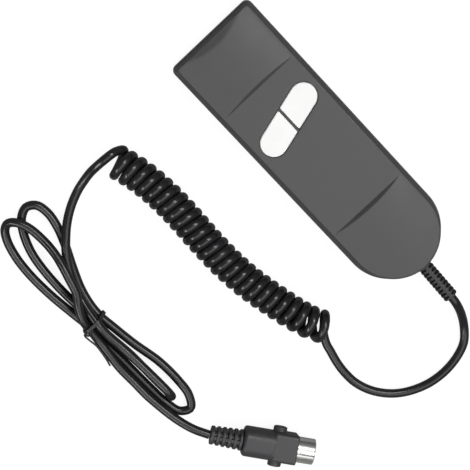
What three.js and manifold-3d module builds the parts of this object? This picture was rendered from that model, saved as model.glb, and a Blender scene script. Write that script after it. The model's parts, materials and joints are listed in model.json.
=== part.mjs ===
// Wired hand control: a two-button handset, a curly lead, a tied bundle of cord and a five-pin plug.
// Millimetres, +Z up. It lies on its back on z = 0, with the origin under the middle of the handset:
// +Y runs to the square end, -Y to the rounded end where the cord leaves, +X is to the right.

import * as THREE from 'three';
import { mergeVertices } from 'three/addons/utils/BufferGeometryUtils.js';
import Module from 'manifold-3d';

const wasm = await Module();
wasm.setup();

// ---------------------------------------------------------------- driving sizes
// Fits
const partGap = 0.3;

// Handset housing
const handsetLength = 156;
const handsetWidth = 50;
const seamHeight = 10;
const faceHeight = 19;
const coverWall = 2;
const squareCorner = 3;
const seamLedge = 0.6;
const sideLean = 3.3;
const endLean = 2;
const edgeRound = 1.4;
const crownRise = 2.25;
const crownMargin = 4;
const upperCreaseInset = 34;
const lowerCreaseInset = 44.5;
const creaseRun = 1.76;
const bevelRun = 3.6;
const bevelHalfWidth = 16.5;
const backEdge = 2.6;
const labelWidth = 26;
const labelLength = 44;
const labelDepth = 0.4;

// Buttons
const pillWidth = 13.4;
const pillLength = 39.6;
const pillTilt = 15;
const pillInset = 55;
const barWidth = 0.7;
const barRecess = 0.4;
const buttonProud = 0.25;
const buttonRound = 0.6;
const buttonWall = 1.6;
const flangeReach = 1.1;
const flangeThickness = 1.2;
const buttonTravel = 1;
const stemRadius = 2;

// Circuit board and switches
const boardWidth = 36;
const boardLength = 56;
const boardThickness = 1.6;
const boardInset = 30;
const boardCorner = 1.5;
const boardScrewEdge = 3.4;
const switchLength = 12.8;
const switchWidth = 5.8;
const switchHeight = 6.5;
const plungerOffset = 1.9;
const plungerLength = 2.9;
const plungerWidth = 1.6;
const plungerDepth = 1;
const legLength = 1.2;
const legWidth = 1.2;
const legThickness = 0.6;
const legInset = 1.5;
const legSteps = [-1, 0, 1];
const connectorWidth = 14;
const connectorLength = 6;
const connectorHeight = 6;
const connectorWall = 1.2;
const wirePlugWidth = 12.6;
const wirePlugLength = 7;
const wirePlugHeight = 4.6;
const wirePlugRib = 0.9;

// Screws
const coverScrewRadius = 1.45;
const coverScrewHead = 2.7;
const coverScrewHeadDepth = 1.8;
const coverScrewSink = 3.2;
const coverScrewLength = 12;
const coverBossRadius = 3.5;
const coverScrewInset = 12;
const coverScrewSpread = 34;
const roundScrewInset = 22;
const roundScrewSpread = 30;
const smallScrewRadius = 1.1;
const smallScrewHead = 2.2;
const smallScrewHeadDepth = 1.3;
const smallScrewLength = 5;
const smallBossRadius = 2.8;

// Cable inside the handset and its strain relief
const cordDiameter = 4.4;
// The curls and the tied loops are drawn this much thinner, so that strands that touch stay clear of each other.
const woundSlack = 0.36;
const coreDiameter = 1.2;
const coreCount = 5;
const coreCircle = 1.35;
const tailInset = 33;
const clampInset = 21;
const clampWidth = 22;
const clampLength = 5;
const clampThickness = 2;
const clampScrewSpread = 15;
const reliefRadius = 3.8;
const reliefNeckRadius = 4.1;
const reliefFlangeRadius = 5.4;
const reliefFlangeThickness = 2;
const reliefFlangeInset = 5;
const reliefLength = 20.7;
const reliefLean = 2;
const reliefSlotCount = 9;
const reliefSlotPitch = 2.25;
const reliefSlotWidth = 0.85;
const reliefSpineWidth = 1.7;

// Curly part of the cord
const curlOuterDiameter = 17.4;
const curlCloseness = 1.11;
const curlLoosening = 1.9;
const curlFade = 2.4;
const curlEndLoosening = 0.45;
const curlEndFade = 2.5;
const curlLean = 0.18;
const curlStartLean = 0.3;
const curlSkew = 0.22;
const curlSkewFade = 2.9;
const curlStepsPerTurn = 8;
const curlSides = 5;

// Tied bundle
const hankSteps = 96;
const hankSides = 6;
const tieY = 13.5;
const tieWidth = 2;
const tieThickness = 0.7;
const tieTailLength = 21;
const tieTailDiameter = 1.2;

// Plug
const plugHeading = -54.3;
const plugTwist = -9.8;
const plugX = -136.76;
const plugY = -68.42;
const bootLength = 16.5;
const bootStartRadius = 4.8;
const bootEndRadius = 5.5;
const bootCoreRadius = 3.1;
const bootSlotCount = 5;
const bootSlotWidth = 1.1;
const bootWebWidth = 1.7;
const bootWebDrop = 0.65;
const bootWebTurn = 12;
const plugRearLength = 15.3;
const plugRearWidth = 15.2;
const plugRearRound = 6;
const plugBlockLength = 12.4;
const plugBlockWidth = 15.1;
const plugBlockHeight = 14.4;
const plugBlockRound = 2;
const lugRadius = 3.5;
const lugSpan = 20.5;
const lugInset = 2.6;
const shellRadius = 6.6;
const shellWall = 0.6;
const shellReach = 9;
const shellSeat = 8;
const keyWidth = 2.2;
const keyDepth = 1.1;
const insertLength = 7.5;
const pinRadius = 0.725;
const pinCircle = 3.5;
const pinReach = 7.4;
const pinSeat = 3;
const pinCount = 5;

// Counts of facets
const arcSteps = 8;
const cornerSteps = 3;
const columns = 12;
const roundSides = 16;
const postSides = 12;
const shellSides = 24;
const pillSteps = 12;

// ---------------------------------------------------------------- places that follow from the sizes
const halfWidth = handsetWidth / 2;
const squareEndY = handsetLength / 2;
const roundEndY = -handsetLength / 2;
const roundCentreY = roundEndY + halfWidth;
const upperCreaseY = squareEndY - upperCreaseInset;
const lowerCreaseY = roundEndY + lowerCreaseInset;
const cordRadius = cordDiameter / 2;
const woundDiameter = cordDiameter - woundSlack;
const cordExitHeight = seamHeight;
const floorHeight = cordRadius + 0.05;
const frontSeam = seamHeight + partGap / 2;
const rearSeam = seamHeight - partGap / 2;

const colours = {
  housing: { color: 0x606162, roughness: 0.55, metalness: 0 },
  button: { color: 0xf4f4f2, roughness: 0.4, metalness: 0 },
  board: { color: 0x2f6b3c, roughness: 0.5, metalness: 0 },
  switchCase: { color: 0x1d1d1f, roughness: 0.5, metalness: 0 },
  plunger: { color: 0xb8352c, roughness: 0.5, metalness: 0 },
  connector: { color: 0xe9e4d2, roughness: 0.55, metalness: 0 },
  steel: { color: 0xb9bcc0, roughness: 0.3, metalness: 1 },
  cord: { color: 0x2f3032, roughness: 0.4, metalness: 0 },
  plug: { color: 0x4f5052, roughness: 0.5, metalness: 0 },
  nickel: { color: 0xd9d9d6, roughness: 0.18, metalness: 1 },
};
const coreColours = [0x9b3a2a, 0xd8c23a, 0x3c7d46, 0xe8e8e6, 0x6b4a2f];

const object = new THREE.Group();

// ---------------------------------------------------------------- helpers
const radians = THREE.MathUtils.degToRad;

/** Adds a named mesh with its own material to a group. */
function place(name, geometry, look, parent = object) {
  const mesh = new THREE.Mesh(geometry, new THREE.MeshStandardMaterial(look));
  mesh.name = name;
  parent.add(mesh);
  return mesh;
}

/** Turns a closed geometry into a solid that can be cut and joined. */
function solid(geometry) {
  const bare = new THREE.BufferGeometry();
  bare.setAttribute('position', geometry.getAttribute('position').clone());
  if (geometry.index) {
    bare.setIndex(geometry.index.clone());
  }
  const merged = mergeVertices(bare, 1e-4);
  const vertProperties = new Float32Array(merged.getAttribute('position').array);
  const triVerts = new Uint32Array(merged.index.array);
  return new wasm.Manifold(new wasm.Mesh({ numProp: 3, vertProperties, triVerts }));
}

/** Turns a solid back into a geometry. */
function geometryOf(body) {
  const mesh = body.getMesh();
  const geometry = new THREE.BufferGeometry();
  geometry.setAttribute('position', new THREE.BufferAttribute(new Float32Array(mesh.vertProperties), 3));
  geometry.setIndex(new THREE.BufferAttribute(new Uint32Array(mesh.triVerts), 1));
  geometry.computeVertexNormals();
  return geometry;
}

/** Joins solids into one. */
const join = (first, ...others) => others.reduce((sum, other) => sum.add(other), first);

/** Cuts solids out of the first one. */
const cut = (first, ...others) => others.reduce((rest, other) => rest.subtract(other), first);

/** A box between two corners. */
function block([x0, y0, z0], [x1, y1, z1]) {
  const box = new THREE.BoxGeometry(x1 - x0, y1 - y0, z1 - z0);
  return box.translate((x0 + x1) / 2, (y0 + y1) / 2, (z0 + z1) / 2);
}

/** An upright cylinder. */
function post(radius, x, y, z0, z1, sides = postSides) {
  const cylinder = new THREE.CylinderGeometry(radius, radius, z1 - z0, sides);
  return cylinder.rotateX(Math.PI / 2).translate(x, y, (z0 + z1) / 2);
}

/** A cylinder or cone along Y, with one radius at each end. */
function rodY(radius0, radius1, x, z, y0, y1, sides = roundSides) {
  const cylinder = new THREE.CylinderGeometry(radius1, radius0, y1 - y0, sides);
  return cylinder.translate(x, (y0 + y1) / 2, z);
}

/** A cylinder or cone along X, centred on the X axis. */
function rodX(radius0, radius1, x0, x1, sides = roundSides) {
  const cylinder = new THREE.CylinderGeometry(radius1, radius0, x1 - x0, sides);
  return cylinder.rotateZ(-Math.PI / 2).translate((x0 + x1) / 2, 0, 0);
}

/** A regular polygon that a round tube of this diameter is extruded from. */
function tubeSection(diameter, sides) {
  const corners = Array.from({ length: sides }, (_, i) => {
    const angle = (2 * Math.PI * i) / sides;
    return new THREE.Vector2(Math.cos(angle), Math.sin(angle)).multiplyScalar(diameter / 2);
  });
  return new THREE.Shape(corners);
}

/** A tube of one diameter along a smooth curve through points. */
function tube(points, diameter, steps, sides) {
  const path = new THREE.CatmullRomCurve3(points, false, 'centripetal');
  path.arcLengthDivisions = steps * 20;
  return new THREE.ExtrudeGeometry(tubeSection(diameter, sides), { steps, extrudePath: path });
}

const vectors = (rows) => rows.map(([x, y, z]) => new THREE.Vector3(x, y, z));

/** Extrudes an outline in XY from z0 up to z1. */
function slab(shape, z0, z1, curveSegments = 8) {
  const geometry = new THREE.ExtrudeGeometry(shape, { depth: z1 - z0, bevelEnabled: false, curveSegments });
  return geometry.translate(0, 0, z0);
}

// ---------------------------------------------------------------- housing outline and surface
// Every loop round the housing has the same number of points, so loops at different heights
// are joined straight across. A loop is inset by its own amounts at the sides and the square end.

const crownHalfChord = halfWidth - crownMargin;
const crownAt = (x) => crownRise * Math.max(0, 1 - (x / crownHalfChord) ** 2);
const bevelFootY = squareEndY - endLean;
const bevelFootZ = faceHeight + crownAt(bevelHalfWidth);
const bevelSlope = (crownRise - crownAt(bevelHalfWidth)) / bevelRun;
const bevelAt = (y) => bevelFootZ + bevelSlope * (bevelFootY - y);
const topCorner = squareCorner - endLean + 0.2;
const creaseEdge = 0.15;
const capMiddleY = (upperCreaseY + squareEndY) / 2;
const roundMiddleY = (roundCentreY + lowerCreaseY) / 2;

/** Where the crest of a crease or of the end bevel lies at x, and the last row before a loop's corner. */
const creaseCrest = (x) => Math.max(creaseEdge, (creaseRun * crownAt(x)) / crownRise);
const bevelCrest = (x, limit) => Math.min(limit, bevelFootY - bevelRun * (1 - (x / bevelHalfWidth) ** 2));
const lastRowOf = (end, corner) => squareEndY - end - corner - 0.1;

/** Rows along the straight sides: where each meets the side, its line across, and its surface. */
const sideRows = [
  { edgeY: roundMiddleY, lineY: () => roundMiddleY, crowned: true },
  { edgeY: lowerCreaseY - creaseEdge, lineY: (x) => lowerCreaseY - creaseCrest(x), crowned: true },
  { edgeY: lowerCreaseY, lineY: () => lowerCreaseY, crowned: false },
  { edgeY: upperCreaseY, lineY: () => upperCreaseY, crowned: false },
  { edgeY: upperCreaseY + creaseEdge, lineY: (x) => upperCreaseY + creaseCrest(x), crowned: true },
  { edgeY: capMiddleY, lineY: () => capMiddleY, crowned: true },
];

/** Points up the right side of a loop, from just past the rounded end to the square corner. */
function rightSide(side, end, corner) {
  const half = halfWidth - side;
  const top = squareEndY - end;
  const points = [];
  for (let i = 1; i <= arcSteps; i += 1) {
    const angle = (Math.PI / 2) * (i / arcSteps - 1);
    points.push([half * Math.cos(angle), roundCentreY + half * Math.sin(angle)]);
  }
  for (const row of sideRows) {
    points.push([half, row.edgeY]);
  }
  points.push([half, lastRowOf(end, corner)]);
  for (let i = 0; i <= cornerSteps; i += 1) {
    const angle = ((Math.PI / 2) * i) / cornerSteps;
    points.push([half - corner + corner * Math.cos(angle), top - corner + corner * Math.sin(angle)]);
  }
  return points;
}

/** A whole loop: rounded tip, right side up, square end across, left side down. */
function loopOf(side, end, corner) {
  const right = rightSide(side, end, corner);
  const [cornerX, top] = right[right.length - 1];
  const across = [];
  for (let j = columns - 1; j > 0; j -= 1) {
    across.push([cornerX * ((2 * j) / columns - 1), top]);
  }
  const left = right.map(([x, y]) => [-x, y]).reverse();
  return [[0, roundCentreY - (halfWidth - side)], ...right, ...across, ...left];
}

/** Height of the finished top surface at a point of a row, or of the loop that bounds it. */
const surfaceAt = (crowned, x, y) =>
  crowned ? Math.min(faceHeight + crownAt(x), bevelAt(y)) : faceHeight;

/** Row kinds in the order of rightSide(): which of them lie on the crowned caps. */
const rowCrowned = [
  ...Array(arcSteps).fill(true),
  ...sideRows.map((row) => row.crowned),
  ...Array(cornerSteps + 2).fill(true),
];

/** Triangles across one flat loop: strips between its two sides, and a fan along the square end. */
function flatCap(count) {
  const rows = (count - columns) / 2;
  const faces = [[0, 1, count - 1]];
  for (let i = 1; i < rows - 1; i += 1) {
    faces.push([i, i + 1, count - i - 1], [i, count - i - 1, count - i]);
  }
  for (let i = rows; i < count - rows; i += 1) {
    faces.push([rows - 1, i, i + 1]);
  }
  faces.push([rows - 1, count - rows, count - rows + 1]);
  return faces;
}

/** Builds a closed body from loops of equal length, capped flat, or with given triangles above. */
function loft(loops, topPoints = [], topTriangles = undefined) {
  const count = loops[0].length;
  const points = loops.flat();
  const triangles = [];
  for (let level = 0; level < loops.length - 1; level += 1) {
    for (let i = 0; i < count; i += 1) {
      const a = level * count + i;
      const b = level * count + ((i + 1) % count);
      triangles.push([a, b, b + count], [a, b + count, a + count]);
    }
  }
  for (const [a, b, c] of flatCap(count)) {
    triangles.push([a, c, b]);
  }
  const last = (loops.length - 1) * count;
  points.push(...topPoints);
  for (const face of topTriangles ?? flatCap(count)) {
    triangles.push(face.map((index) => index + last));
  }
  const geometry = new THREE.BufferGeometry();
  geometry.setAttribute('position', new THREE.Float32BufferAttribute(points.flat(), 3));
  geometry.setIndex(triangles.flat());
  return geometry;
}

/** The front cover's outside, or its inside when it is sunk by the wall's thickness. */
function coverBody(rings, sink, bottomZ) {
  const topRing = rings[rings.length - 1];
  const right = rightSide(topRing.side, topRing.end, topRing.corner);
  const rowCount = right.length;
  const topLoop = loopOf(topRing.side, topRing.end, topRing.corner);
  const lastRow = lastRowOf(topRing.end, topRing.corner);
  const topY = right[rowCount - 1][1];
  const loopCount = topLoop.length;
  const crownedOf = (i) => {
    const row = i <= rowCount ? i - 1 : loopCount - 1 - i;
    return i === 0 || row < 0 || row >= rowCount ? true : rowCrowned[row];
  };
  const topHeights = topLoop.map(([x, y], i) => surfaceAt(crownedOf(i), x, y) - sink);
  const loops = rings.map(({ side, end, corner, rise }) =>
    loopOf(side, end, corner).map(([x, y], i) => [x, y, bottomZ + (topHeights[i] - bottomZ) * rise]),
  );
  // Points of the top surface inside the loop, row by row.
  const inner = [];
  const index = (row, column) => {
    if (column === columns) {
      return row + 1;
    }
    if (column === 0) {
      return loopCount - 1 - row;
    }
    if (row === rowCount - 1) {
      return rowCount + (columns - column);
    }
    return loopCount + row * (columns - 1) + column - 1;
  };
  for (let row = 0; row < rowCount - 1; row += 1) {
    const [edgeX, edgeY] = right[row];
    const sideRow = sideRows[row - arcSteps];
    for (let column = 1; column < columns; column += 1) {
      const x = edgeX * ((2 * column) / columns - 1);
      let y = edgeY;
      if (sideRow) {
        y = sideRow.lineY(x);
      } else if (row >= arcSteps + sideRows.length) {
        const crest = bevelCrest(x, lastRow);
        y = crest + ((topY - crest) * (edgeY - lastRow)) / (topY - lastRow);
      }
      inner.push([x, y, surfaceAt(rowCrowned[row], x, y) - sink]);
    }
  }
  const faces = [];
  for (let column = 0; column < columns; column += 1) {
    faces.push([0, index(0, column + 1), index(0, column)]);
  }
  for (let row = 0; row < rowCount - 1; row += 1) {
    for (let column = 0; column < columns; column += 1) {
      const a = index(row, column);
      const b = index(row, column + 1);
      const c = index(row + 1, column + 1);
      const d = index(row + 1, column);
      if (column < columns / 2) {
        faces.push([a, b, d], [b, c, d]);
      } else {
        faces.push([a, b, c], [a, c, d]);
      }
    }
  }
  return loft(loops, inner, faces);
}

/** A flat-topped body between loops that are inset alike all round. */
const trayBody = (levels) =>
  loft(
    levels.map(([inset, z]) =>
      loopOf(inset, inset, Math.max(0.4, squareCorner - inset)).map(([x, y]) => [x, y, z]),
    ),
  );

// ---------------------------------------------------------------- handset
const pillY = squareEndY - pillInset;
const pillRadius = pillWidth / 2;
const pillHalfSpan = pillLength / 2 - pillRadius;
const tilt = radians(pillTilt);

/** The pill outline, grown by an amount, cut by a line beside the bar; side 0 keeps it whole. */
function pillShape(grow, side, barClearance) {
  const radius = pillRadius + grow;
  const whole = [];
  for (const end of [1, -1]) {
    for (let i = 0; i <= pillSteps; i += 1) {
      const angle = tilt - (end * Math.PI) / 2 + (Math.PI * i) / pillSteps;
      const x = end * pillHalfSpan * Math.cos(tilt) + radius * Math.cos(angle);
      const y = pillY + end * pillHalfSpan * Math.sin(tilt) + radius * Math.sin(angle);
      whole.push(new THREE.Vector2(x, y));
    }
  }
  if (side === 0) {
    return new THREE.Shape(whole);
  }
  const limit = barWidth / 2 + barClearance;
  const kept = [];
  for (let i = 0; i < whole.length; i += 1) {
    const from = whole[i];
    const to = whole[(i + 1) % whole.length];
    const fromIn = from.x * side > limit;
    const toIn = to.x * side > limit;
    if (fromIn) {
      kept.push(from);
    }
    if (fromIn !== toIn) {
      const share = (side * limit - from.x) / (to.x - from.x);
      kept.push(from.clone().lerp(to, share));
    }
  }
  return new THREE.Shape(kept);
}

const coverScrewSpots = [
  [-coverScrewSpread / 2, squareEndY - coverScrewInset],
  [coverScrewSpread / 2, squareEndY - coverScrewInset],
  [-roundScrewSpread / 2, roundEndY + roundScrewInset],
  [roundScrewSpread / 2, roundEndY + roundScrewInset],
];
const coverScrewHeadTop = coverScrewSink - partGap;
const coverScrewTip = coverScrewHeadTop + coverScrewLength;

function frontCover() {
  const rings = [
    { side: seamLedge, end: seamLedge, corner: squareCorner - seamLedge, rise: 0 },
    { side: seamLedge, end: seamLedge, corner: squareCorner - seamLedge, rise: 0.1 },
    { side: seamLedge + 0.5, end: seamLedge + 0.3, corner: squareCorner - seamLedge, rise: 0.14 },
    { side: sideLean - edgeRound * 0.5, end: endLean - 0.5, corner: topCorner + 0.6, rise: 0.84 },
    { side: sideLean, end: endLean - 0.2, corner: topCorner + 0.3, rise: 0.95 },
    { side: sideLean + edgeRound * 0.7, end: endLean, corner: topCorner, rise: 1 },
  ];
  const hollowRings = [
    { side: seamLedge + coverWall, end: seamLedge + coverWall, corner: 1, rise: 0 },
    { side: sideLean + coverWall * 0.4, end: endLean + coverWall, corner: 0.6, rise: 1 },
  ];
  const bossTop = faceHeight - coverWall / 2;
  const bosses = coverScrewSpots.map(([x, y]) => solid(post(coverBossRadius, x, y, frontSeam, bossTop)));
  const holes = coverScrewSpots.map(([x, y]) =>
    solid(post(coverScrewRadius + partGap, x, y, frontSeam - 1, coverScrewTip + 2 * partGap)),
  );
  const openings = [-1, 1].map((side) =>
    solid(slab(pillShape(partGap, side, 0), seamHeight, faceHeight + crownRise)),
  );
  const barReach = pillRadius / Math.cos(tilt);
  const recess = solid(block(
    [-barWidth, pillY - barReach, faceHeight - barRecess],
    [barWidth, pillY + barReach, faceHeight + crownRise],
  ));
  const exit = solid(
    rodY(reliefNeckRadius + partGap, reliefNeckRadius + partGap, 0, cordExitHeight,
      roundEndY - 2, roundEndY + reliefFlangeInset),
  );
  const shell = cut(
    solid(coverBody(rings, 0, frontSeam)),
    solid(coverBody(hollowRings, coverWall, frontSeam - 1)),
  );
  return geometryOf(cut(join(shell, ...bosses), ...holes, ...openings, recess, exit));
}

const flangeTop = faceHeight - coverWall - partGap;
const flangeBottom = flangeTop - flangeThickness;
const buttonTop = faceHeight + buttonProud;
const switchTop = flangeBottom - buttonTravel - partGap;
const switchBottom = switchTop - switchHeight;
const plungerTop = flangeBottom - partGap;
const plungerBottom = switchTop - plungerDepth;
const boardTop = switchBottom - partGap;
const boardBottom = boardTop - boardThickness;
const boardCentreY = squareEndY - boardInset - boardLength / 2;
const boardScrewSpots = [-1, 1].flatMap((sideX) =>
  [-1, 1].map((sideY) => [
    sideX * (boardWidth / 2 - boardScrewEdge),
    boardCentreY + sideY * (boardLength / 2 - boardScrewEdge),
  ]),
);
const clampY = roundEndY + clampInset;
const clampBottom = cordExitHeight + cordRadius + partGap;
const clampScrewSpots = [-1, 1].map((side) => [(side * clampScrewSpread) / 2, clampY]);

function rearCover() {
  const tray = cut(
    solid(trayBody([[backEdge, 0], [backEdge * 0.55, 0.5], [backEdge * 0.25, 1.9], [0, rearSeam]])),
    solid(trayBody([[coverWall + 1, coverWall], [coverWall, coverWall + 1.5], [coverWall, seamHeight + 1]])),
  );
  const floor = coverWall / 2;
  const bosses = [
    ...coverScrewSpots.map(([x, y]) => post(coverBossRadius + 0.4, x, y, floor, rearSeam)),
    ...boardScrewSpots.map(([x, y]) => post(smallBossRadius, x, y, floor, boardBottom - partGap)),
    ...clampScrewSpots.map(([x, y]) => post(smallBossRadius, x, y, floor, clampBottom - partGap)),
    block(
      [-clampWidth / 4, clampY - clampLength / 2, floor],
      [clampWidth / 4, clampY + clampLength / 2, cordExitHeight - cordRadius - partGap],
    ),
  ].map(solid);
  const smallHole = smallScrewRadius + partGap;
  const holes = [
    ...coverScrewSpots.map(([x, y]) => post(coverScrewHead + partGap, x, y, -1, coverScrewSink)),
    ...coverScrewSpots.map(([x, y]) => post(coverScrewRadius + partGap, x, y, 0, seamHeight + 1)),
    ...boardScrewSpots.map(([x, y]) => post(smallHole, x, y, boardTop - smallScrewLength, seamHeight)),
    ...clampScrewSpots.map(([x, y]) => post(smallHole, x, y, clampBottom - smallScrewLength, clampBottom)),
    block([-labelWidth / 2, -labelLength / 2, -1], [labelWidth / 2, labelLength / 2, labelDepth]),
    rodY(reliefNeckRadius + partGap, reliefNeckRadius + partGap, 0, cordExitHeight,
      roundEndY - 2, roundEndY + reliefFlangeInset),
    rodY(reliefFlangeRadius + partGap, reliefFlangeRadius + partGap, 0, cordExitHeight,
      roundEndY + reliefFlangeInset - partGap, clampY - clampLength),
  ].map(solid);
  return geometryOf(cut(join(tray, ...bosses), ...holes));
}

/** Middle of one button's visible face. */
function buttonCentre(side) {
  const reach = (pillLength / 2 + barWidth / 2) / 2;
  return [side * reach * Math.cos(tilt), pillY + side * reach * Math.sin(tilt)];
}

function buttonCap(side) {
  const body = new THREE.ExtrudeGeometry(pillShape(-buttonRound, side, partGap + buttonRound), {
    depth: buttonTop - flangeBottom - 2 * buttonRound,
    bevelThickness: buttonRound,
    bevelSize: buttonRound,
    bevelSegments: 2,
  }).translate(0, 0, flangeBottom + buttonRound);
  const flange = slab(pillShape(flangeReach, side, partGap), flangeBottom, flangeTop);
  const pocket = slab(
    pillShape(-buttonWall, side, partGap + buttonWall),
    flangeBottom - 1,
    buttonTop - buttonWall,
  );
  const [x, y] = buttonCentre(side);
  const stem = post(stemRadius, x, y, flangeBottom, buttonTop - buttonWall / 2);
  return geometryOf(join(cut(join(solid(body), solid(flange)), solid(pocket)), solid(stem)));
}

/** Corners of a switch's case, and of its plunger, in plan. */
function switchPlan(side) {
  const [x, y] = buttonCentre(side);
  const caseY = y - plungerOffset;
  return {
    low: [x - switchWidth / 2, caseY - switchLength / 2],
    high: [x + switchWidth / 2, caseY + switchLength / 2],
    plungerLow: [x - plungerWidth / 2, y - plungerLength / 2],
    plungerHigh: [x + plungerWidth / 2, y + plungerLength / 2],
  };
}

/** Where a switch's legs go through the board. */
function legSpots(side) {
  const { low, high } = switchPlan(side);
  return legSteps.map((step) => [
    (low[0] + high[0]) / 2,
    (low[1] + high[1]) / 2 + step * (switchLength / 2 - legInset),
  ]);
}

function switchCase(side) {
  const plan = switchPlan(side);
  const [lowX, lowY] = plan.plungerLow;
  const [highX, highY] = plan.plungerHigh;
  const well = block(
    [lowX - partGap, lowY - partGap, plungerBottom - buttonTravel - partGap],
    [highX + partGap, highY + partGap, switchTop + 1],
  );
  const body = block([...plan.low, switchBottom], [...plan.high, switchTop]);
  const legs = legSpots(side).map(([x, y]) =>
    block(
      [x - legWidth / 2, y - legThickness / 2, boardBottom - legLength],
      [x + legWidth / 2, y + legThickness / 2, switchBottom + legThickness],
    ));
  return geometryOf(cut(join(solid(body), ...legs.map(solid)), solid(well)));
}

function switchPlunger(side) {
  const plan = switchPlan(side);
  return block([...plan.plungerLow, plungerBottom], [...plan.plungerHigh, plungerTop]);
}

const connectorY = boardCentreY - boardLength / 2 + connectorLength / 2 + wirePlugLength;
const connectorBottom = boardTop + partGap;
const wirePlugBottom = connectorBottom + (connectorHeight - wirePlugHeight) / 2;
const wirePlugFront = connectorY - connectorLength / 2 - partGap;
const wirePlugBack = wirePlugFront - wirePlugLength;

function circuitBoard() {
  const half = boardWidth / 2;
  const low = boardCentreY - boardLength / 2;
  const high = boardCentreY + boardLength / 2;
  const shape = new THREE.Shape();
  shape.moveTo(-half + boardCorner, low);
  shape.lineTo(half - boardCorner, low);
  shape.lineTo(half, low + boardCorner);
  shape.lineTo(half, high - boardCorner);
  shape.lineTo(half - boardCorner, high);
  shape.lineTo(-half + boardCorner, high);
  shape.lineTo(-half, high - boardCorner);
  shape.lineTo(-half, low + boardCorner);
  const holes = boardScrewSpots.map(([x, y]) =>
    post(smallScrewRadius + partGap, x, y, boardBottom - 1, boardTop + 1));
  const holeX = legWidth / 2 + partGap;
  const holeY = legThickness / 2 + partGap;
  for (const [x, y] of [...legSpots(-1), ...legSpots(1)]) {
    holes.push(block([x - holeX, y - holeY, boardBottom - 1], [x + holeX, y + holeY, boardTop + 1]));
  }
  return geometryOf(cut(solid(slab(shape, boardBottom, boardTop)), ...holes.map(solid)));
}

/** An open-topped header that the wire plug sits against. */
function boardConnector() {
  const half = connectorWidth / 2;
  const body = block(
    [-half, connectorY - connectorLength / 2, connectorBottom],
    [half, connectorY + connectorLength / 2, connectorBottom + connectorHeight],
  );
  const innerX = half - connectorWall;
  const innerY = connectorLength / 2 - connectorWall;
  const window = block(
    [-innerX, connectorY - innerY, connectorBottom + connectorWall],
    [innerX, connectorY + innerY, connectorBottom + 2 * connectorHeight],
  );
  return geometryOf(cut(solid(body), solid(window)));
}

function wirePlug() {
  const half = wirePlugWidth / 2;
  const body = block(
    [-half, wirePlugBack, wirePlugBottom],
    [half, wirePlugFront, wirePlugBottom + wirePlugHeight],
  );
  const top = wirePlugBottom + wirePlugHeight;
  const ribs = [-1, 1].map((side) => {
    const x = side * (half - 1.5 * wirePlugRib);
    return block(
      [x - wirePlugRib / 2, wirePlugBack + wirePlugRib, top - wirePlugRib / 2],
      [x + wirePlugRib / 2, wirePlugFront - wirePlugRib, top + wirePlugRib],
    );
  });
  return geometryOf(join(solid(body), ...ribs.map(solid)));
}

/** Places numbered screws, head down or head up; the bearing face of a head is at seatZ. */
function placeScrews(prefix, spots, seatZ, up, headRadius, headDepth, shaftRadius, shaftLength) {
  const tip = shaftRadius * 0.8;
  const profile = [
    [0, -headDepth],
    [headRadius * 0.8, -headDepth],
    [headRadius, -headDepth * 0.6],
    [headRadius, 0],
    [shaftRadius, 0],
    [shaftRadius, shaftLength - tip],
    [0, shaftLength],
  ].map(([x, y]) => new THREE.Vector2(x, y));
  spots.forEach(([x, y], i) => {
    const screw = new THREE.LatheGeometry(profile, 12);
    screw.rotateX(up ? Math.PI / 2 : -Math.PI / 2).translate(x, y, seatZ);
    place(`${prefix}_${i + 1}`, screw, colours.steel);
  });
}

// ---------------------------------------------------------------- cable in the handset
const tailEndY = roundEndY + tailInset;
const reliefEndY = roundEndY - reliefLength;
const reliefFlangeY = roundEndY + reliefFlangeInset;
const reliefEndX = -reliefLength * Math.tan(radians(reliefLean));

function strainRelief() {
  const sleeve = join(
    solid(rodY(reliefRadius, reliefRadius, 0, cordExitHeight, reliefEndY, roundEndY + 1)),
    solid(rodY(reliefNeckRadius, reliefNeckRadius, 0, cordExitHeight, roundEndY - 0.4, reliefFlangeY + 0.5)),
    solid(rodY(reliefFlangeRadius, reliefFlangeRadius, 0, cordExitHeight, reliefFlangeY,
      reliefFlangeY + reliefFlangeThickness)),
  );
  const bore = cordRadius + partGap;
  const cuts = [rodY(bore, bore, 0, cordExitHeight, reliefEndY - 1, tailEndY)];
  const reach = reliefRadius + 1;
  for (let i = 0; i < reliefSlotCount; i += 1) {
    const y = reliefEndY + reliefSlotPitch * (i + 0.72);
    for (const side of [-1, 1]) {
      const edges = [(side * reliefSpineWidth) / 2, side * reach].sort((a, b) => a - b);
      cuts.push(block(
        [edges[0], y - reliefSlotWidth / 2, cordExitHeight - reach],
        [edges[1], y + reliefSlotWidth / 2, cordExitHeight + reach],
      ));
    }
  }
  const relief = geometryOf(cut(sleeve, ...cuts.map(solid)));
  // Outside the handset the sleeve leans a little to the left.
  const places = relief.getAttribute('position');
  for (let i = 0; i < places.count; i += 1) {
    const outside = Math.min(0, places.getY(i) - roundEndY);
    places.setX(i, places.getX(i) + outside * Math.tan(radians(reliefLean)));
  }
  return relief;
}

function cableClamp() {
  const half = clampWidth / 2;
  const bar = block(
    [-half, clampY - clampLength / 2, clampBottom],
    [half, clampY + clampLength / 2, clampBottom + clampThickness],
  );
  const holes = clampScrewSpots.map(([x, y]) =>
    post(smallScrewRadius + partGap, x, y, clampBottom - 1, clampBottom + clampThickness + 1));
  return geometryOf(cut(solid(bar), ...holes.map(solid)));
}

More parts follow.
